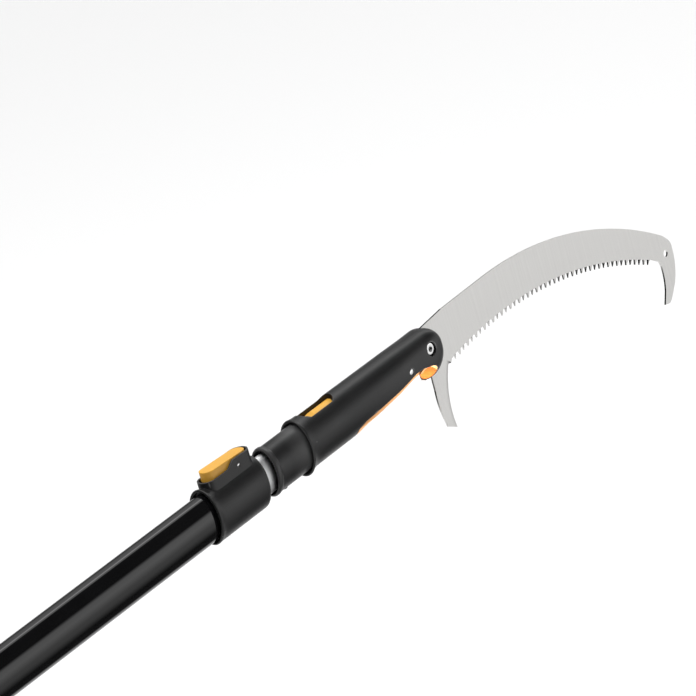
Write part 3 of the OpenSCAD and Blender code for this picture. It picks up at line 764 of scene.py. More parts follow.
def polar_row() -> NodeTree:
    """A tree that sets copies of an item along an arc in the XZ plane.

    Returns:
        The tree.
    """
    made = NodeTree("polar_row", {
        "Item": "NodeSocketObject", "Count": "NodeSocketInt", "Radius": "NodeSocketFloat",
        "Start": "NodeSocketFloat", "Step": "NodeSocketFloat", "Centre": "NodeSocketVector",
        "Material": "NodeSocketMaterial"})
    points = made.add("GeometryNodeMeshLine", {"Count": made.given("Count"), "Offset": (0, 0, 0)})
    index = made.add("GeometryNodeInputIndex").outputs[0]
    angle = made.math("MULTIPLY_ADD", index, made.given("Step"), made.given("Start"))
    x = made.math("MULTIPLY", made.math("SINE", angle), made.given("Radius"))
    z = made.math("MULTIPLY", made.math("COSINE", angle), made.given("Radius"))
    spot = made.add("ShaderNodeCombineXYZ", {"X": x, "Z": z})
    moved = made.add("ShaderNodeVectorMath", {0: spot.outputs[0], 1: made.given("Centre")},
                     operation="ADD")
    laid = made.add("GeometryNodeSetPosition",
                    {"Geometry": points.outputs[0], "Position": moved.outputs[0]})
    turn = made.add("ShaderNodeCombineXYZ", {"Y": angle})
    item = made.add("GeometryNodeObjectInfo", {"Object": made.given("Item")})
    copies = made.add("GeometryNodeInstanceOnPoints", {
        "Points": laid.outputs[0], "Instance": item.outputs["Geometry"], "Rotation": turn.outputs[0]})
    made.finish(copies.outputs[0])
    return made


def line_row() -> NodeTree:
    """A tree that sets copies of an item in a straight row.

    Returns:
        The tree.
    """
    made = NodeTree("line_row", {
        "Item": "NodeSocketObject", "Count": "NodeSocketInt", "Start": "NodeSocketVector",
        "Step": "NodeSocketVector", "Material": "NodeSocketMaterial"})
    points = made.add("GeometryNodeMeshLine", {
        "Count": made.given("Count"), "Start Location": made.given("Start"), "Offset": made.given("Step")})
    item = made.add("GeometryNodeObjectInfo", {"Object": made.given("Item")})
    copies = made.add("GeometryNodeInstanceOnPoints",
                      {"Points": points.outputs[0], "Instance": item.outputs["Geometry"]})
    made.finish(copies.outputs[0])
    return made


def coil() -> NodeTree:
    """A tree that winds a round wire into an upright spring.

    Returns:
        The tree.
    """
    made = NodeTree("coil", {
        "Radius": "NodeSocketFloat", "Wire": "NodeSocketFloat", "Turns": "NodeSocketFloat",
        "Height": "NodeSocketFloat", "Foot": "NodeSocketVector", "Material": "NodeSocketMaterial"})
    line = made.add("GeometryNodeCurveSpiral", {
        "Resolution": 40, "Rotations": made.given("Turns"), "Start Radius": made.given("Radius"),
        "End Radius": made.given("Radius"), "Height": made.given("Height")})
    wire = made.add("GeometryNodeCurvePrimitiveCircle", {"Resolution": 12, "Radius": made.given("Wire")})
    mesh = made.add("GeometryNodeCurveToMesh", {
        "Curve": line.outputs[0], "Profile Curve": wire.outputs[0], "Fill Caps": True})
    moved = made.add("GeometryNodeTransform",
                     {"Geometry": mesh.outputs[0], "Translation": made.given("Foot")})
    made.finish(moved.outputs[0])
    return made


# ------------------------------------------------------------------ pole


@dataclass
class Tubes:
    """The two oval tubes and the slider on the inner one's rear end."""

    wall: float = TUBE_WALL
    edge: float = 0.3

    def pipe(self, node: str) -> bpy.types.Object:
        """An oval tube with eased ends, where a CAD node is.

        Args:
            node: Name of the CAD node.

        Returns:
            The piece.
        """
        low, high = span(node)
        size = high - low
        full = Section(low.x, size.z, size.y)
        outer = [full.grown(-self.edge), full.grown(0, low.x + self.edge),
                 full.grown(0, high.x - self.edge), full.grown(-self.edge, high.x)]
        bore = full.grown(-self.wall)
        inner = [bore.grown(self.edge), bore.grown(0, low.x + self.edge),
                 bore.grown(0, high.x - self.edge), bore.grown(self.edge, high.x)]
        return shade(sleeve("visual_" + node, outer, inner), 50)

    def build(self) -> None:
        """Makes and dresses the tubes."""
        place(self.pipe("outer_tube"), Body.HANDLE, COATED_TUBE, "outer_tube")
        place(self.pipe("inner_tube"), Body.EXTENSION, BARE_TUBE, "inner_tube")
        dress("tube_guide", DARK_PLASTIC)
        dress("guide_pin", BRIGHT_STEEL)


@dataclass
class Butt:
    """The rear end of the pole: its grip, its cap and the screws from below."""

    grip_wall: float = 2.6
    flare: float = 2.4
    rib_count: int = 22
    rib_pitch: float = 6.0
    rib_rise: float = 0.7
    rib_half: float = 1.6
    hang_radius: float = 4.5
    hang_width: float = 18.0
    hang_land: float = 3.5
    skirt_length: float = 18.0
    screw_head: float = 2.9
    screw_shank: float = 1.5

    def grip(self) -> bpy.types.Object:
        """Rubber sleeve with a flared rear end and low ribs.

        Returns:
            The piece.
        """
        low, high = span("hand_grip")
        tube = span("outer_tube")[1]
        bore = Section(low.x, 2 * tube.z, 2 * tube.y).grown(FIT)
        body = bore.grown(self.grip_wall)
        stations = [
            (0.0, self.flare - 1.6), (0.5, self.flare - 0.5), (2.0, self.flare), (8.0, self.flare),
            (15.0, self.flare * 0.75), (22.0, self.flare * 0.35), (32.0, 0.08), (42.0, 0.0)]
        outer = [body.grown(out, low.x + x) for x, out in stations]
        rim = [(34.0, 0.0), (24.0, 0.2), (16.0, 0.6), (7.0, 0.6), (3.0, 0.2), (1.0, -0.6), (0.0, -1.4)]
        outer += [body.grown(out, high.x - x) for x, out in rim]
        inner = [bore, bore.grown(0, high.x)]
        return shade(sleeve("visual_hand_grip", outer, inner), 40)

    def ribs(self) -> bpy.types.Object:
        """Row of low oval ribs round the grip.

        Returns:
            The piece.
        """
        low, high = span("hand_grip")
        tube = span("outer_tube")[1]
        body = Section(0.0, 2 * tube.z, 2 * tube.y).grown(FIT + self.grip_wall)
        outer = []
        for degrees in range(-80, 81, 20):
            angle = math.radians(degrees)
            outer.append(body.grown(self.rib_rise * math.cos(angle) - 0.2, self.rib_half * math.sin(angle)))
        inner = [body.grown(-0.6, -self.rib_half), body.grown(-0.6, self.rib_half)]
        rib = sleeve("rib", outer, inner, 96)
        start = (low.x + high.x) / 2 - self.rib_pitch * (self.rib_count - 1) / 2 + 4
        row = line_row().run("visual_grip_ribs", {
            "Item": rib, "Count": self.rib_count, "Start": (start * MM, 0.0, 0.0),
            "Step": (self.rib_pitch * MM, 0.0, 0.0), "Material": GRIP_RUBBER.material()})
        bpy.data.objects.remove(rib)
        return shade(row, 60)

    def cap(self) -> bpy.types.Object:
        """Moulded end cap with its hang hole between two flats.

        Returns:
            The piece.
        """
        low, high = span("end_cap")
        tube_low, tube_high = span("outer_tube")
        skirt = Section(0.0, high.z - low.z, high.y - low.y)
        skirt_end = tube_low.x + self.skirt_length
        rear = -low.x
        outer = []
        for degrees in range(0, 90, 6):
            reach, rise = math.cos(math.radians(degrees)), math.sin(math.radians(degrees))
            outer.append(Section(-rear * reach, skirt.height * (0.45 + 0.55 * rise),
                                 skirt.width * (0.6 + 0.4 * rise)))
        outer += [skirt, skirt.grown(0, skirt_end - 1.5), skirt.grown(-1, skirt_end)]
        cap = loft("visual_end_cap", outer)
        tube = Section(tube_low.x, 2 * tube_high.z, 2 * tube_high.y)
        shape(cap, Cut.AWAY, loft("tube_seat", [tube.grown(FIT), tube.grown(FIT, skirt_end + 2)]))
        plug = tube.grown(-TUBE_WALL - FIT)
        shape(cap, Cut.JOIN, loft("plug", [plug.grown(0, tube_low.x - 1), plug.grown(0, high.x - 2),
                                           plug.grown(-1.2, high.x)]))
        hole = turned("hole", [(self.hang_radius, 0), (self.hang_radius, 60)], (0, -30, 0), (0, 1, 0))
        land = self.hang_radius + self.hang_land
        flats = [turned("flat", [(land, 0), (land, 20)], (0, side * self.hang_width / 2, 0), (0, side, 0))
                 for side in (-1, 1)]
        screw, head = middle("end_cap_screw"), self.screw_head + 0.2
        bore = turned("bore", [(head, -4), (head, 1.5), (self.screw_shank, 1.5), (self.screw_shank, 8)],
                      (screw.x, 0, low.z), (0, 0, 1))
        shape(cap, Cut.AWAY, hole, *flats, bore)
        return mould(cap, 0.5, 3)

    def screws(self) -> bpy.types.Object:
        """The two small cross-headed screws under the cap and the collar.

        Returns:
            The piece.
        """
        ends = [span("end_cap_screw"), span("collar_screw")]
        length = min(high.z - low.z for low, high in ends)
        r, shank = self.screw_head, self.screw_shank
        item = turned("screw", [(r - 0.5, 0), (r, 0.35), (r, 1.2), (shank + 0.2, 1.6), (shank, 1.8),
                                (shank, length - 0.6), (shank - 0.6, length)], (0, 0, 0), (0, 0, 1))
        for w, d in ((0.4, 1.7), (1.7, 0.4)):
            shape(item, Cut.AWAY, tower("cross", oblong(-w, -d, w, d), -1, 0.9))
        spots = [Vector(((low.x + high.x) / 2, 0, low.z)) for low, high in ends]
        row = line_row().run("visual_underside_screws", {
            "Item": item, "Count": len(spots), "Start": tuple(spots[0] * MM),
            "Step": tuple((spots[1] - spots[0]) * MM), "Material": BRIGHT_STEEL.material()})
        bpy.data.objects.remove(item)
        return shade(row, 40)

    def build(self) -> None:
        """Makes and dresses the grip, the cap and the screws."""
        place(self.grip(), Body.HANDLE, GRIP_RUBBER, "hand_grip")
        place(self.ribs(), Body.HANDLE, GRIP_RUBBER)
        place(self.cap(), Body.HANDLE, BLACK_PLASTIC, "end_cap")
        place(self.screws(), Body.HANDLE, BRIGHT_STEEL, "end_cap_screw", "collar_screw")


# ------------------------------------------------------------------ clamp


@dataclass
class Clamp:
    """The collar with its lever, pin, brake shoe and bushing."""

    wall: float = 2.7
    lip: float = 0.8
    lip_centre: float = 0.6
    recess: float = 4.0
    front_round: float = 3.2
    housing_front: float = 4.0
    housing_length: float = 55.0
    housing_width: float = 16.2
    housing_wall: float = 1.4
    rim_low: float = 26.1
    rim_high: float = 30.4
    rise_start: float = 14.0
    rise_length: float = 10.0
    floor: float = 19.2
    lever_top: float = 6.6
    lever_rise: float = 2.0
    lever_front: float = 15.6
    lever_rear: float = 32.0
    lever_width: float = 12.4
    swing: float = 28.0
    pin_radius: float = 1.6
    hub_radius: float = 3.1
    cam_radius: float = 3.9
    cam_half: float = 4.7
    cam_back: float = 2.006
    cam_drop: float = 0.5

    def __post_init__(self) -> None:
        """Reads the clamp's places from the frame."""
        low, high = span("clamp_collar")
        tube = span("outer_tube")[1]
        self.rear, self.front = low.x, high.x
        self.tube = Section(low.x, 2 * tube.z, 2 * tube.y)
        self.tube_end = tube.x
        inner = span("inner_tube")[1]
        self.bore = Section(low.x, 2 * inner.z, 2 * inner.y).grown(0.3)
        self.pin = middle("lever_pin")
        self.housing_x = self.front - self.housing_front - self.housing_length / 2

    def rim(self) -> list[Flat]:
        """Outline of the housing's rim: low at the rear, rising in an S to the front.

        Returns:
            The points, from the rear to the front.
        """
        start = self.pin.x - self.rise_start
        rise = self.rim_high - self.rim_low
        steps = [i / 16 for i in range(17)]
        curve = [(start + self.rise_length * t, self.rim_low + rise * (1 - math.cos(math.pi * t)) / 2)
                 for t in steps]
        return [(self.rear - 20, self.rim_low), *curve, (self.front, self.rim_high - 0.6)]

    def body(self) -> bpy.types.Object:
        """Moulded collar with its lever housing.

        Returns:
            The piece.
        """
        full = self.tube.grown(self.wall)
        lip = Section(self.rear, full.height + 2 * self.lip, full.width + 2 * self.lip + 1, self.lip_centre)
        r = self.front_round
        outer = [lip.grown(-0.6), lip.grown(-0.15, self.rear + 0.35), lip.grown(0, self.rear + 0.9)]
        for t in (0.15, 0.3, 0.5, 0.7, 1.0):
            left = (1 - t) ** 2
            outer.append(Section(self.rear + 1 + 7 * t, full.height + 2 * self.lip * left,
                                 full.width + (2 * self.lip + 1) * left, self.lip_centre * left))
        for degrees in range(0, 91, 15):
            angle = math.radians(degrees)
            outer.append(full.grown(-r * (1 - math.cos(angle)), self.front - r * 1.5 * (1 - math.sin(angle))))
        collar = loft("visual_clamp_collar", outer)
        housing = tower("housing", stadium(self.housing_x, self.housing_length, self.housing_width), 8, 40)
        below = plate("below_rim", [*self.rim(), (self.front, -4), (self.rear - 20, -4)], -20, 20)
        shape(housing, Cut.COMMON, below)
        shape(collar, Cut.JOIN, housing)
        tube = self.tube.grown(FIT)
        mouth = Section(self.rear, self.tube.height + 1.3 * self.wall, self.tube.width + 1.3 * self.wall,
                        self.lip_centre / 2)
        shape(collar, Cut.AWAY,
              loft("tube_bore", [tube.grown(0, self.rear - 2), tube.grown(0, self.tube_end + 0.3)]),
              loft("mouth", [mouth.grown(0, self.rear - 2), mouth.grown(0, self.rear + self.recess)]),
              loft("seat", [self.bore.grown(1.6, self.tube_end), self.bore.grown(1.6, self.front - 1.6)]),
              loft("way_out", [self.bore.grown(0, self.tube_end), self.bore.grown(0, self.front + 2)]),
              self.cavity("cavity", 22.4, 45), self.well(), self.pocket(), self.pin_bore())
        return mould(collar, 0.36, 2)

    def cavity(self, name: str, z0: float, z1: float) -> bpy.types.Object:
        """The space inside the housing's walls, from z0 to z1.

        Args:
            name: Name of the shape.
            z0: Its floor.
            z1: Its top.

        Returns:
            The cutting shape.
        """
        trim = 2 * self.housing_wall
        plan = stadium(self.housing_x, self.housing_length - trim, self.housing_width - trim)
        return tower(name, plan, z0, z1)

    def well(self) -> bpy.types.Object:
        """The deeper part of the cavity, round the cam.

        Returns:
            The cutting shape.
        """
        well = self.cavity("well", self.floor, 24)
        front_part = plate("front_part", oblong(self.pin.x - 9, 0, self.front, 40), -20, 20)
        return shape(well, Cut.COMMON, front_part)

    def pocket(self) -> bpy.types.Object:
        """The brake shoe's way down to the inner tube.

        Returns:
            The cutting shape.
        """
        low, high = span("brake_shoe")
        gap = 0.25
        return tower("pocket", oblong(low.x - gap, low.y - gap, high.x + gap, high.y + gap), 8, 23)

    def pin_bore(self) -> bpy.types.Object:
        """The hole that the lever's pin sits in."""
        return across("pin_bore", [(self.pin_radius, -12), (self.pin_radius, 12)], self.pin)

    def lever(self) -> bpy.types.Object:
        """Rocker lever with a flat top, a stadium plan and its cam.

        Returns:
            The piece.
        """
        px, pz = self.pin.x, self.pin.z
        length = self.lever_front + self.lever_rear
        top = [(px + self.lever_front - length * i / 16, pz + self.lever_top + self.lever_rise * i / 16)
               for i in range(17)]
        slope = math.tan(math.radians(self.swing))
        bed = pz + (self.floor - pz + 0.3) / math.cos(math.radians(self.swing))
        low = bed + slope * 3.2
        under = [(px - self.lever_rear, pz + 0.6), (px - 2, pz + 0.6), (px + 1, low), (px + 3.2, low),
                 (px + self.lever_front, bed + slope * self.lever_front)]
        lever = plate("visual_cam_lever", [*top, *under], -12, 12)
        plan = stadium(px + (self.lever_front - self.lever_rear) / 2, length, self.lever_width)
        shape(lever, Cut.COMMON, tower("plan", plan, pz - 9, pz + 16))
        half, bore = self.cam_half, self.pin_radius + FIT
        cam = turned("cam", [(self.cam_radius, -half), (self.cam_radius, half)],
                     (px - self.cam_back, 0, pz - self.cam_drop), (0, 1, 0))
        hub = across("hub", [(self.hub_radius, -half), (self.hub_radius, half)], self.pin)
        shape(lever, Cut.JOIN, cam, hub)
        shape(lever, Cut.AWAY, across("bore", [(bore, -12), (bore, 12)], self.pin))
        return mould(lever, 0.24, 2)

    def pin_piece(self) -> bpy.types.Object:
        """Steel pin with domed ends.

        Returns:
            The piece.
        """
        low, high = span("lever_pin")
        r, length = (high.z - low.z) / 2, high.y - low.y
        profile = [(0.2, 0), (r * 0.7, 0.15), (r, 0.55), (r, length - 0.55), (r * 0.7, length - 0.15),
                   (0.2, length)]
        return shade(across("visual_lever_pin", profile, self.pin, low.y), 40)

    def build(self) -> None:
        """Makes and dresses the clamp's pieces."""
        place(self.body(), Body.HANDLE, BLACK_PLASTIC, "clamp_collar")
        place(self.lever(), Body.LEVER, ORANGE_PLASTIC, "cam_lever")
        place(self.pin_piece(), Body.HANDLE, BRIGHT_STEEL, "lever_pin")
        dress("collar_bushing", BUSHING_PLASTIC)
        dress("brake_shoe", DARK_PLASTIC)
        dress("shoe_pad", PAD_RUBBER)


# ------------------------------------------------------------------ adapter and latch


@dataclass
class Coupling:
    """The adapter on the inner tube, its rivet, and the latch in it."""

    height: float = 38.8
    width: float = 24.0
    centre: float = 0.5
    flange: float = 0.8
    mouth_wall: float = 1.9
    mouth_depth: float = 7.0
    body_length: float = 48.0
    socket: float = 40.0
    tenon_height: float = 35.0
    tenon_width: float = 21.6
    tenon_wall: float = 2.4
    well_radius: float = 5.35
    boss_radius: float = 3.55
    button_inset: float = 4.2
    head_height: float = 42.8
    head_width: float = 27.2
    head_centre: float = 1.6
    skirt_top: float = 9.3
    skirt: float = 2.0
    spring_turns: float = 5.0
    wire: float = 0.45
    travel: float = 3.0

    def __post_init__(self) -> None:
        """Reads the adapter's and the button's places from the frame."""
        low, high = span("adapter")
        self.rear, self.end = low.x, high.x
        button_low, button_high = span("latch_button")
        self.skirt_length = button_high.x - button_low.x
        self.skirt_width = button_high.y - button_low.y
        self.button_length = self.skirt_length - 3.0
        self.button_width = self.skirt_width - 3.0
        self.button_x = (button_low.x + button_high.x) / 2

    def adapter(self) -> bpy.types.Object:
        """Moulded sleeve with a rear flange and the tenon for the head.

        Returns:
            The piece.
        """
        main = Section(self.rear, self.height, self.width, self.centre)
        out = self.flange
        stations = [(0.0, out - 1.6), (0.3, out - 0.9), (0.9, out - 0.3), (1.6, out), (3.6, out),
                    (4.4, out * 0.7), (5.2, 0.15), (6.2, 0.0), (self.body_length - 1, 0.0),
                    (self.body_length, -0.8)]
        tenon = Section(self.rear, self.tenon_height, self.tenon_width, self.centre)
        sections = [main.grown(by, self.rear + x) for x, by in stations]
        sections += [tenon.grown(0, self.rear + self.body_length), tenon.grown(0, self.end - 2),
                     tenon.grown(-1.5, self.end)]
        adapter = loft("visual_adapter", sections)
        inner = span("inner_tube")[1]
        tube = Section(self.rear, 2 * inner.z, 2 * inner.y).grown(FIT)
        stop = self.rear + self.socket + FIT
        mouth = main.grown(self.flange - self.mouth_wall)
        opening = stadium(self.button_x, self.button_length + 0.5, self.button_width + 0.5)
        chamber = stadium(self.button_x, self.skirt_length + 0.5, self.skirt_width + 0.5)
        hollow = tenon.grown(-self.tenon_wall, self.button_x + self.skirt_length / 2 + 4)
        shape(adapter, Cut.AWAY,
              loft("mouth", [mouth.grown(0, self.rear - 1), mouth.grown(0, self.rear + 1),
                             mouth.grown(-self.flange, self.rear + self.mouth_depth)]),
              loft("tube_socket", [tube.grown(0, self.rear - 1), tube.grown(0, stop)]),
              tower("opening", opening, self.skirt_top - 1, 30),
              tower("chamber", chamber, self.skirt_top - self.skirt - 3.4, self.skirt_top + 0.1),
              turned("spring_well", [(self.well_radius, 0), (self.well_radius, 12)],
                     (self.button_x, 0, -2), (0, 0, 1)),
              loft("hollow", [hollow, hollow.grown(0, self.end + 2)]))
        return shade(adapter, 35)

    def rivet(self) -> bpy.types.Object:
        """Black domed rivet under the adapter.

        Returns:
            The piece.
        """
        low, high = span("adapter_rivet")
        r = (high.x - low.x) / 2
        profile = [(0.2, 0), (r * 0.55, 0.12), (r * 0.85, 0.45), (r, 0.95), (r, 1.5), (1.8, 1.5),
                   (1.8, high.z - low.z)]
        return shade(turned("visual_adapter_rivet", profile, ((low.x + high.x) / 2, 0, low.z), (0, 0, 1)), 40)

    def button(self) -> bpy.types.Object:
        """Latch button: its top follows the head's round back and ramps down at the rear.

        Returns:
            The piece.
        """
        x, length, foot = self.button_x, self.button_length, self.skirt_top - self.skirt
        button = tower("visual_latch_button", stadium(x, length, self.button_width), foot, 30)
        top_height = self.head_height - 2 * self.button_inset
        top = Section(x - length, top_height, self.head_width - 2 * self.button_inset, self.head_centre)
        ramp = self.head_centre + top_height / 2 - 4.2
        rear = x - length / 2
        side = [(rear, 0), (rear, ramp), (rear + 9, ramp + 6), (x + length, ramp + 6), (x + length, 0)]
        shape(button, Cut.COMMON, loft("back", [top, top.grown(0, x + length)]), plate("ramp", side, -12, 12))
        skirt = stadium(x, self.skirt_length, self.skirt_width)
        shape(button, Cut.JOIN, tower("skirt", skirt, foot, self.skirt_top),
              turned("boss", [(self.boss_radius, 0), (self.boss_radius, 4)], (x, 0, foot - 2), (0, 0, 1)))
        return mould(button, 0.28, 3)

    def spring(self) -> bpy.types.Object:
        """Coil spring that pushes the button up.

        Returns:
            The piece.
        """
        low, high = span("latch_spring")
        tall = high.z - low.z - 2 * self.wire
        return coil().run("visual_latch_spring", {
            "Radius": ((high.y - low.y) / 2 - self.wire) * MM, "Wire": self.wire * MM,
            "Turns": self.spring_turns, "Height": tall * MM,
            "Foot": (self.button_x * MM, 0.0, (low.z + self.wire) * MM),
            "Material": BRIGHT_STEEL.material()})

    def build(self) -> None:
        """Makes and dresses the adapter, its rivet and the latch."""
        place(self.adapter(), Body.EXTENSION, BLACK_PLASTIC, "adapter")
        place(self.rivet(), Body.EXTENSION, BLACK_STEEL, "adapter_rivet")
        place(self.button(), Body.LATCH, ORANGE_PLASTIC, "latch_button")
        spring = place(shade(self.spring(), 60), Body.EXTENSION, BRIGHT_STEEL, "latch_spring")
        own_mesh(spring)


# ------------------------------------------------------------------ head


@dataclass
class Head:
    """The saw head: shell, finger liner, bolt, nut and locating pin."""

    height: float = 42.8
    width: float = 27.2
    centre: float = 1.6
    lip: float = 1.4
    nose_radius: float = 20.0
    nose_width: float = 25.0
    waist: float = 63.0
    window_length: float = 39.0
    window_width: float = 15.0
    liner_wall: float = 3.2
    liner_half: float = 9.5
    bowl_half: float = 11.0
    slot_half: float = 0.85
    recess_radius: float = 5.7
    recess_depth: float = 3.4
    nut_depth: float = 5.2
    nut_radius: float = 4.7
    bolt_head: float = 2.4
    bowl_reach: Triple = (13.0, 30.0, 6.6)
    bowl_wall: float = 1.5

    def __post_init__(self) -> None:
        """Reads the head's places from the frame."""
        low, high = span("head_housing")
        self.rear, self.front = low.x, high.x
        self.nose_x = high.x - self.nose_radius
        self.bolt = middle("blade_bolt")
        self.pin = middle("locating_pin")
        self.blade_x = self.bolt.x - BOLT_AHEAD
        self.nose_z = self.bolt.z - BOLT_ABOVE
        self.scoop_x = self.blade_x + 2.7
        self.scoop_z = self.nose_z - 14.2
        self.waist_x = self.rear + self.waist
        self.coupling = Coupling()

    def nose(self, angle: float) -> Section:
        """Section of the round nose.

        Args:
            angle: 0 for the nose's middle and 90 for its front.

        Returns:
            The section.
        """
        reach, size = math.sin(math.radians(angle)), max(0.02, math.cos(math.radians(angle)))
        up, down = self.nose_radius * size ** 0.7, self.nose_radius * size
        width = self.nose_width * (0.4 + 0.6 * size ** 0.6)
        return Section(self.nose_x + self.nose_radius * reach, up + down, width,
                       self.nose_z + (up - down) / 2, 2.6 + reach / 2)

    def outside(self, name: str, margin: float = 0.0) -> bpy.types.Object:
        """The head's outer form, smaller by a margin.

        Args:
            name: Name of the object.
            margin: How much smaller it is all round.

        Returns:
            The closed form.
        """
        x, h, w, c = self.rear, self.height, self.width, self.centre
        lip = 2 * self.lip
        sections = [
            Section(x, h + lip, w + lip - 1, c - 1), Section(x + 0.4, h + lip + 0.7, w + lip - 0.3, c - 1),
            Section(x + 1, h + lip + 1, w + lip, c - 1),
            *(Section(x + 1 + 10 * t, h + (lip + 1) * (1 - t) ** 2, w + lip * (1 - t) ** 2, c - (1 - t) ** 2)
              for t in (0.15, 0.3, 0.45, 0.6, 0.8)),
            Section(x + 12, h, w, c),
            Section(self.waist_x, h - 0.4, w - 0.2, c),
            Section(self.nose_x - 40, h / 2 + self.nose_radius, (w + self.nose_width) / 2,
                    (c + self.nose_z) / 2, 2.2),
            Section(self.nose_x - 16, 2 * self.nose_radius, self.nose_width, self.nose_z, 2.5)]
        sections += [self.nose(a) for a in range(0, 91, 5)]
        return loft(name, [s.grown(-margin) for s in sections], 144)

    def waist_line(self, drop: float) -> list[Flat]:
        """Lower edge of the shell, from the start of the waist to the scoop.

        Args:
            drop: How far the edge is moved down.

        Returns:
            The points.
        """
        x, c, sx, sz = self.waist_x, self.centre, self.scoop_x, self.scoop_z
        return [(x - 6 + drop, -40), (x + drop, c - 15 - drop), (x + 8 + drop, c - 12.6 - drop),
                (x + 30, c - 11.2 - drop), (x + 55, c - 9 - drop), (sx - 21, sz + 8.8 - drop),
                (sx - 15, sz + 9 - drop), (sx - 9, sz + 8.3 - drop)]

    def waist_tool(self, drop: float) -> bpy.types.Object:
        """Everything under the waist, up to the scoop.

        Args:
            drop: How far its upper edge is moved down.

        Returns:
            The cutting shape.
        """
        end = self.scoop_x - 4
        outline = [*self.waist_line(drop), (end, self.scoop_z + 6.8 - drop), (end, -40)]
        return plate("waist", outline, -20, 20)

    def bowl(self, grow: float) -> bpy.types.Object:
        """The spoon-shaped finger scoop.

        Args:
            grow: Margin all round.

        Returns:
            The cutting shape.
        """
        rx, ry, rz = (reach + grow for reach in self.bowl_reach)
        work = bmesh.new()
        bmesh.ops.create_uvsphere(work, u_segments=96, v_segments=48, radius=1)
        shift = Vector((self.scoop_x - 5.2, 0, self.scoop_z + 0.6))
        points = [tuple(Vector((v.co.x * rx, v.co.y * ry, v.co.z * rz)) + shift) for v in work.verts]
        faces = [[v.index for v in f.verts] for f in work.faces]
        work.free()
        return solid("bowl", points, faces)

    def between(self, half: float) -> bpy.types.Object:
        """A block that holds everything nearer than half to the middle plane."""
        return plate("between", oblong(self.scoop_x - 25, -40, self.front + 5, 0), -half, half)

    def slot(self) -> bpy.types.Object:
        """The blade's slot through the shell.

        Returns:
            The cutting shape.
        """
        x, z = self.blade_x, self.nose_z
        outline = [(x - 31, z - 5), (x - 31, z + 7), (x - 25, z + 10), (x + 12, z + 19.4), (x + 14, z + 40),
                   (x + 60, z + 40), (x + 60, z - 40), (x + 10.6, z - 40), (x + 10.6, z - 11), (x - 2, z - 3),
                   (x - 12, z - 3.4)]
        return plate("slot", outline, -self.slot_half, self.slot_half)

    def shell(self) -> bpy.types.Object:
        """Moulded shell with its socket, window, slot, recesses, waist and scoop.

        Returns:
            The piece.
        """
        c = self.coupling
        shell = self.outside("visual_head_housing")
        wide = Section(self.rear, c.height + 0.5, c.width + 0.5, c.centre)
        tenon = Section(self.rear, c.tenon_height + 0.5, c.tenon_width + 0.5, c.centre)
        step = c.rear + c.body_length
        window_x = c.button_x - (self.window_length - c.button_length) / 2 + 0.6
        window = stadium(window_x, self.window_length, self.window_width)
        scoop = shape(self.bowl(self.bowl_wall), Cut.COMMON, self.between(self.bowl_half),
                      self.outside("inset", 0.5))
        side = self.nose_width / 2
        floor = self.recess_depth - side
        shape(shell, Cut.AWAY,
              loft("socket", [wide.grown(2.2, self.rear - 1), wide.grown(1.8, self.rear),
                              wide.grown(0, self.rear + 3), wide.grown(0, step + 0.25)]),
              loft("tenon_way", [tenon.grown(0, step - 1), tenon.grown(0, c.end + 0.3)]),
              tower("window", window, 9, 40),
              self.slot(), self.waist_tool(0), self.bowl(0), scoop,
              across("bolt_way", [(self.recess_radius, -30), (self.recess_radius, floor), (BOLT_WAY, floor),
                                  (BOLT_WAY, 30)], self.bolt),
              across("nut_way", [(self.nut_radius, side - self.nut_depth), (self.nut_radius, 30)],
                     self.bolt, 0, 6),
              across("pin_way", [(PIN_WAY, -30), (PIN_WAY, 30)], self.pin))
        return mould(shell, 0.36, 4)

    def liner(self) -> bpy.types.Object:
        """Soft lining under the waist and in the finger scoop.

        Returns:
            The piece.
        """
        strip = self.outside("visual_grip_liner", 0.12)
        inside = plate("inside", oblong(self.rear, -19, self.front, 30), -self.liner_half, self.liner_half)
        waist = shape(self.waist_tool(0), Cut.COMMON, inside)
        bowl = shape(self.bowl(self.bowl_wall - 0.1), Cut.COMMON, self.between(self.bowl_half - 0.1),
                     self.outside("inset", 0.6))
        shape(waist, Cut.JOIN, bowl)
        shape(strip, Cut.COMMON, waist)
        shape(strip, Cut.AWAY, self.waist_tool(self.liner_wall), self.bowl(0), self.slot())
        return shade(strip, 30)

    def bolt_piece(self) -> bpy.types.Object:
        """Blade bolt with a chamfered round head and a six-sided socket.

        Returns:
            The piece.
        """
        low, high = span("blade_bolt")
        r, length = (high.x - low.x) / 2, high.y - low.y
        profile = [(r - 0.9, 0.6), (r - 0.35, 0.72), (r, 1.2), (r, self.bolt_head), (3, self.bolt_head),
                   (3, length - 0.5), (2.5, length)]
        bolt = across("visual_blade_bolt", profile, self.bolt, low.y, 64)
        shape(bolt, Cut.AWAY, across("key", [(2.7, -1), (2.7, 3.6), (1, 4.6)], self.bolt, low.y, 6))
        return shade(bolt, 30)

    def nut(self) -> bpy.types.Object:
        """Six-sided nut with turned corners.

        Returns:
            The piece.
        """
        low, high = span("blade_nut")
        r, thick, thread = (high.x - low.x) / 2, high.y - low.y, BOLT_WAY - 0.02
        nut = across("visual_blade_nut", [(r, 0), (r, thick)], self.bolt, low.y, 6)
        ease = [(r - 0.6, -0.1), (r + 0.1, 0.5), (r + 0.1, thick - 0.6), (r - 0.7, thick + 0.05)]
        shape(nut, Cut.COMMON, across("ease", ease, self.bolt, low.y, 64))
        shape(nut, Cut.AWAY, across("thread", [(thread, -1), (thread, thick + 1)], self.bolt, low.y))
        return shade(nut, 30)

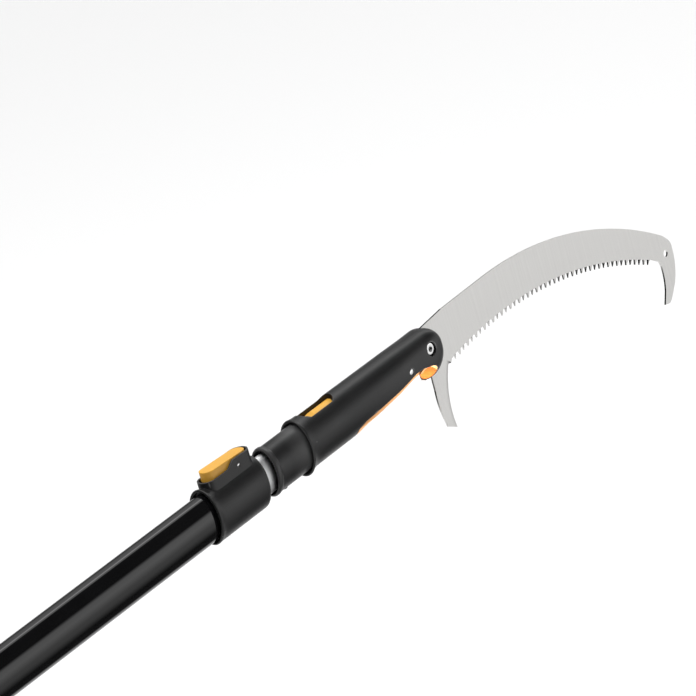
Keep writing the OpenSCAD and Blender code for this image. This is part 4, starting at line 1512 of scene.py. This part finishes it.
    def pin_piece(self) -> bpy.types.Object:
        """Steel locating pin with domed ends.

        Returns:
            The piece.
        """
        low, high = span("locating_pin")
        r, length = (high.x - low.x) / 2, high.y - low.y
        half = [(0.2, 0), (r * 0.6, 0.06), (r * 0.9, 0.2), (r, 0.5)]
        profile = [*half, *((a, length - b) for a, b in reversed(half))]
        return shade(across("visual_locating_pin", profile, self.pin, low.y), 40)

    def build(self) -> None:
        """Makes and dresses the head's pieces."""
        place(self.shell(), Body.EXTENSION, BLACK_PLASTIC, "head_housing")
        place(self.liner(), Body.EXTENSION, ORANGE_LINER, "grip_liner")
        place(self.bolt_piece(), Body.EXTENSION, BRIGHT_STEEL, "blade_bolt")
        place(self.nut(), Body.EXTENSION, BRIGHT_STEEL, "blade_nut")
        place(self.pin_piece(), Body.EXTENSION, BRIGHT_STEEL, "locating_pin")


# ------------------------------------------------------------------ blade


@dataclass
class Blade:
    """The fixed pruning blade: curved back, ground teeth, hooked tip and sickle hook."""

    half: float = 0.75
    back_radius: float = 430.0
    tooth_radius: float = 450.0
    width: float = 39.0
    teeth: int = 45
    depth: float = 4.2
    first: float = -9.3
    last: float = 26.6
    back_rise: float = 22.2
    back_reach: float = 106.5
    tooth_reach: float = 117.0
    tip_reach: float = 352.0
    tip_drop: float = 64.0
    tip_radius: float = 11.5
    hook_radius: float = 49.0
    sickle: float = 46.0
    sickle_radius: float = 70.0

    def __post_init__(self) -> None:
        """Reads the blade's datum from the bolt and its hole from the record."""
        bolt = middle("blade_bolt")
        self.x, self.z = bolt.x - BOLT_AHEAD, bolt.z - BOLT_ABOVE
        self.bolt, self.pin = bolt, middle("locating_pin")
        hole = next(m for m in frame["record"]["mounts"] if m["name"] == "tip_hole")
        self.hole = Vector(hole["pos_m"]) / MM
        self.hole_radius = hole["dims"]["r_mm"]
        self.back_z = self.z + self.back_rise
        self.tooth_centre = (self.x + self.tooth_reach, self.back_z - self.width - self.tooth_radius)
        self.pitch = math.radians((self.last - self.first) / self.teeth)

    def outline(self) -> list[Flat]:
        """Outline of the blade with a smooth edge along the roots of the teeth.

        Returns:
            The points, forwards along the back and rearwards under it.
        """
        x, z = self.x, self.z
        tip_x, tip_z = x + self.tip_reach, z - self.tip_drop
        tip, hook, sickle = self.tip_radius, self.hook_radius, self.sickle_radius
        return [
            (x - 30, z - 3.6), (x - 30, z + 6), (x - 25, z + 9), (x + 12, z + 18.4), (x + 44, z + 21.3),
            *crown(x + self.back_reach, self.back_z - self.back_radius, self.back_radius, 0, 33.3, 60),
            *crown(tip_x - tip, tip_z + 1.8, tip, 48, 96, 12),
            *arc(tip_x - hook, tip_z - 0.5, hook, -3, -33, 16),
            (tip_x - 16, tip_z - 36), (tip_x - 19, tip_z - 38.6), (tip_x - 22, tip_z - 40),
            (tip_x - 28.2, tip_z - 38.8),
            *arc(tip_x - 69, tip_z - 12, hook, -20, 6, 14),
            (tip_x - 22, tip_z - 2.6), (tip_x - 25.6, tip_z - 0.2),
            *crown(*self.tooth_centre, self.tooth_radius + self.depth, self.last + 0.1, self.first - 0.1, 90),
            (x + 43.5, z - 19.5), (x + 41, z - 19.5), (x + 39, z - 22.1), (x + 35.6, z - 22.4),
            *arc(x + 95, z - 13.5 - self.sickle, sickle, 149, 190, 28),
            (x + 14.6, z - 20 - self.sickle),
            *arc(x + 81, z + 4 - self.sickle, sickle, 197, 173, 16),
            (x + 11.8, z - 22), (x + 11.2, z - 11), (x - 2, z - 3.4)]

    def tooth(self, side: int) -> bpy.types.Object:
        """One ground tooth, its root at the origin and its point down.

        Args:
            side: 1 or -1, the face that the tooth is ground on.

        Returns:
            The closed tooth.
        """
        pitch = self.pitch * self.tooth_radius
        rear, front, tip = -0.4 * pitch, 0.12 * pitch, -0.24 * pitch
        top, low, h = 0.6, -self.depth, 0.98 * self.half * side
        points = [
            (rear, -h, top), (rear, h, top), (front, h, top), (front, -h, top),
            (rear, -h, 0), (rear, h, 0), (front, h, 0), (front, -h, 0),
            (tip - 0.35, -h * 0.85, low), (tip - 0.35, h * 0.85, low), (tip + 0.25, h * 0.85, low),
            (tip + 0.2, 0, low), (front - 0.2, -h * 0.2, 0.05)]
        faces = [
            (0, 1, 2, 3), (0, 4, 5, 1), (1, 5, 6, 2), (2, 6, 12, 7, 3), (3, 7, 4, 0), (4, 8, 9, 5),
            (5, 9, 10, 6), (6, 10, 11, 12), (8, 11, 10, 9), (4, 7, 12), (4, 12, 11, 8)]
        return solid("tooth", points, faces)

    def row(self, side: int) -> bpy.types.Object:
        """Every second tooth along the tooth line, ground on one face.

        Args:
            side: 1 or -1, the face that the teeth are ground on.

        Returns:
            The teeth, as one object.
        """
        item = self.tooth(side)
        skipped = 0 if side > 0 else 1
        cx, cz = self.tooth_centre
        made = polar_row().run("teeth", {
            "Item": item, "Count": (self.teeth + 1 - skipped) // 2,
            "Radius": (self.tooth_radius + self.depth) * MM,
            "Start": math.radians(self.first) + self.pitch * (0.6 + skipped), "Step": 2 * self.pitch,
            "Centre": (cx * MM, 0.0, cz * MM), "Material": BLADE_STEEL.material()})
        bpy.data.objects.remove(item)
        return made

    def grind(self) -> bpy.types.Object:
        """Ring that grinds the concave edge of the sickle hook, on the near face.

        Returns:
            The cutting shape.
        """
        cx, cz, r, h = self.x + 95, self.z - 13.5 - self.sickle, self.sickle_radius, self.half
        steps = 40
        points = []
        for i in range(steps + 1):
            angle = math.radians(146 + 46 * i / steps)
            for radius, y in ((r - 2, 0.45), (r + 4.2, -h), (r + 4.2, -h - 1), (r - 2, -h - 1)):
                points.append((cx + radius * math.cos(angle), y, cz + radius * math.sin(angle)))
        return solid("grind", points, skin(steps + 1, 4, looped=False))

    def plate(self) -> bpy.types.Object:
        """The blade in one piece.

        Returns:
            The piece.
        """
        blade = plate("visual_saw_blade", self.outline(), -self.half, self.half)
        holes = [(self.bolt, BOLT_WAY), (self.pin, PIN_WAY), (self.hole, self.hole_radius)]
        cutters = [across("hole", [(r, -5), (r, 5)], spot) for spot, r in holes]
        shape(blade, Cut.AWAY, *cutters, self.grind())
        shape(blade, Cut.JOIN, self.row(1))
        shape(blade, Cut.JOIN, self.row(-1))
        edge = blade.modifiers.new("edge", "BEVEL")
        edge.width = 0.12 * MM
        edge.segments = 1
        edge.limit_method = "ANGLE"
        edge.angle_limit = math.radians(60)
        bake(blade)
        return shade(blade, 25)

    def build(self) -> None:
        """Makes and dresses the blade."""
        place(self.plate(), Body.EXTENSION, BLADE_STEEL, "saw_blade")


# ------------------------------------------------------------------ studio


STRIPS = [
    (-180, 0.8), (-152, 0.6), (-128, 1.2), (-96, 0.9), (-88, 0.05), (-60, 0.04), (-52, 0.25), (-42, 0.6),
    (-34, 0.72), (-18, 1.5), (-6, 1.4), (2, 0.06), (58, 0.04), (61, 1.6), (71, 1.7), (73, 4.0), (79, 4.0),
    (81, 1.7), (100, 1.2), (124, 0.7), (132, 0.7), (137, 0.12), (160, 0.12), (166, 1.1), (180, 0.9)]
GLOW = [(-1, 1.5), (-0.6, 0.8), (-0.2, 0.15), (0.3, 0.15), (0.6, 0.9), (1, 1.6)]


@dataclass
class Studio:
    """Camera, floor, soft light and the surroundings that glossy faces mirror."""

    azimuth: float = -48.36
    elevation: float = 19.28
    roll: float = 16.185
    distance: float = 3.3089
    lens: float = 231.06
    aim_right: float = 0.0611
    aim_up: float = 0.0932
    floor_z: float = -0.75
    floor_size: float = 40.0

    def camera(self) -> None:
        """Long lens that looks down along the pole, rolled so that the pole climbs."""
        a, e, r = (math.radians(v) for v in (self.azimuth, self.elevation, self.roll))
        back = Vector((math.sin(a) * math.cos(e), -math.cos(a) * math.cos(e), math.sin(e)))
        level = Vector((math.cos(a), math.sin(a), 0))
        rise = back.cross(level)
        right = level * math.cos(r) - rise * math.sin(r)
        up = rise * math.cos(r) + level * math.sin(r)
        data = bpy.data.cameras.new("camera")
        data.lens, data.sensor_width, data.clip_end = self.lens, 36, 100
        camera = link("camera", data)
        target = Vector((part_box("adapter")[0].x, 0, 0)) + right * self.aim_right + up * self.aim_up
        turn = Matrix((right, up, back)).transposed().to_4x4()
        camera.matrix_world = Matrix.Translation(target + back * self.distance) @ turn
        bpy.context.scene.camera = camera

    def floor(self) -> None:
        """Plain pale floor, far enough below for the pole to float over it."""
        half = self.floor_size / 2
        mesh = bpy.data.meshes.new("floor")
        corners = [(x, y, self.floor_z) for x, y in oblong(-half, -half, half, half)]
        mesh.from_pydata(corners, [], [(0, 1, 2, 3)])
        made = link("floor", mesh)
        paint = bpy.data.materials.new("floor_paint")
        paint.use_nodes = True
        surface = paint.node_tree.nodes["Principled BSDF"]
        surface.inputs["Base Color"].default_value = (0.92, 0.92, 0.92, 1)
        surface.inputs["Roughness"].default_value = 0.9
        mesh.materials.append(paint)
        made.visible_glossy = False
        made.visible_diffuse = False

    def lamp(self, name: str, spot: Triple, aim: Triple, size: float, power: float,
             beam: float = 180) -> None:
        """Square soft light that doesn't show in glossy faces.

        Args:
            name: Name of the light.
            spot: Where it hangs, in metres.
            aim: The point that it looks at, in metres.
            size: Length of its sides, in metres.
            power: Power in watts.
            beam: Angle of its beam, in degrees.
        """
        data = bpy.data.lights.new(name, "AREA")
        data.size, data.energy, data.spread = size, power, math.radians(beam)
        lamp = link(name, data)
        lamp.location = spot
        lamp.rotation_euler = (Vector(aim) - Vector(spot)).to_track_quat("-Z", "Y").to_euler()
        lamp.visible_glossy = False
        lamp.visible_camera = False

    def world(self) -> None:
        """White surroundings: an even glow for matt faces, soft boxes and black cards for glossy ones."""
        world = bpy.data.worlds.new("studio")
        bpy.context.scene.world = world
        world.use_nodes = True
        world.cycles.sampling_method = "NONE"
        tree = world.node_tree
        tree.nodes.clear()
        path = add_node(tree, "ShaderNodeLightPath").outputs
        direction = add_node(tree, "ShaderNodeTexCoord").outputs["Generated"]
        way = add_node(tree, "ShaderNodeSeparateXYZ", {0: direction})
        lit = add_node(tree, "ShaderNodeMixShader", {
            0: path["Is Glossy Ray"], 1: self._background(tree, self._glow(tree, way)),
            2: self._background(tree, self._boxes(tree, way))})
        seen = add_node(tree, "ShaderNodeMixShader", {
            0: path["Is Camera Ray"], 1: lit.outputs[0], 2: self._background(tree, 1.0)})
        add_node(tree, "ShaderNodeOutputWorld", {"Surface": seen.outputs[0]})

    @staticmethod
    def _background(tree: bpy.types.NodeTree, strength: object) -> bpy.types.NodeSocket:
        """A white background of a given strength."""
        made = add_node(tree, "ShaderNodeBackground", {"Color": (1, 1, 1, 1), "Strength": strength})
        return made.outputs[0]

    @staticmethod
    def _steps(tree: bpy.types.NodeTree, value: bpy.types.NodeSocket, low: float, high: float,
               stops: Sequence[Flat]) -> bpy.types.NodeSocket:
        """Brightness that changes evenly between stops along a value.

        Args:
            tree: The world's tree.
            value: What the stops follow.
            low: Lowest value.
            high: Highest value.
            stops: Value and brightness of each stop.

        Returns:
            The brightness.
        """
        top = 4.0
        ramp = add_node(tree, "ShaderNodeValToRGB", {"Fac": spread(tree, value, low, high)})
        elements = ramp.color_ramp.elements
        while len(elements) < len(stops):
            elements.new(0.5)
        for element, (at, bright) in zip(elements, sorted(stops)):
            element.position = (at - low) / (high - low)
            element.color = (bright / top, bright / top, bright / top, 1)
        return reckon(tree, "MULTIPLY", ramp.outputs["Color"], top)

    def _boxes(self, tree: bpy.types.NodeTree, way: bpy.types.Node) -> bpy.types.NodeSocket:
        """Soft boxes round the pole, by the angle up from the front, with a black card at its rear.

        Args:
            tree: The world's tree.
            way: The parts of the direction looked in.

        Returns:
            The brightness.
        """
        front = reckon(tree, "MULTIPLY", way.outputs["Y"], -1)
        angle = reckon(tree, "ARCTAN2", way.outputs["Z"], front)
        stops = [(math.radians(degrees), bright) for degrees, bright in STRIPS]
        boxes = self._steps(tree, angle, -math.pi, math.pi, stops)
        behind = self._steps(tree, way.outputs["X"], -1, 1, [(-1, 0.9), (-0.35, 0.9), (0.1, 0)])
        level = self._steps(tree, way.outputs["Z"], -1, 1, [(-1, 0), (-0.45, 0), (-0.34, 1), (1, 1)])
        left = reckon(tree, "SUBTRACT", 1, reckon(tree, "MULTIPLY", behind, level))
        return reckon(tree, "MULTIPLY", boxes, left)

    def _glow(self, tree: bpy.types.NodeTree, way: bpy.types.Node) -> bpy.types.NodeSocket:
        """Glow that is strongest from above and below."""
        return self._steps(tree, way.outputs["Z"], -1, 1, GLOW)

    def build(self) -> None:
        """Sets up the studio."""
        bpy.context.scene.view_settings.view_transform = "Standard"
        self.camera()
        self.floor()
        self.world()
        self.lamp("key", (0.9, 0.5, 2.8), (1.3, 0, 0), 1.4, 30)
        self.lamp("scoop", (1.2, -0.15, -0.55), (1.502, 0, -0.012), 0.12, 0.17, 8)
        self.lamp("fill", (3.2, 1.8, 2.0), (1.4, 0, 0), 2.0, 8)


def main() -> None:
    """Builds the pole saw and its studio in order."""
    logging.basicConfig(level=logging.INFO, format="%(name)s %(message)s")
    Studio().build()
    Tubes().build()
    Butt().build()
    Clamp().build()
    Coupling().build()
    Head().build()
    Blade().build()
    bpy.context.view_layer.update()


if __name__ == "__main__":
    main()
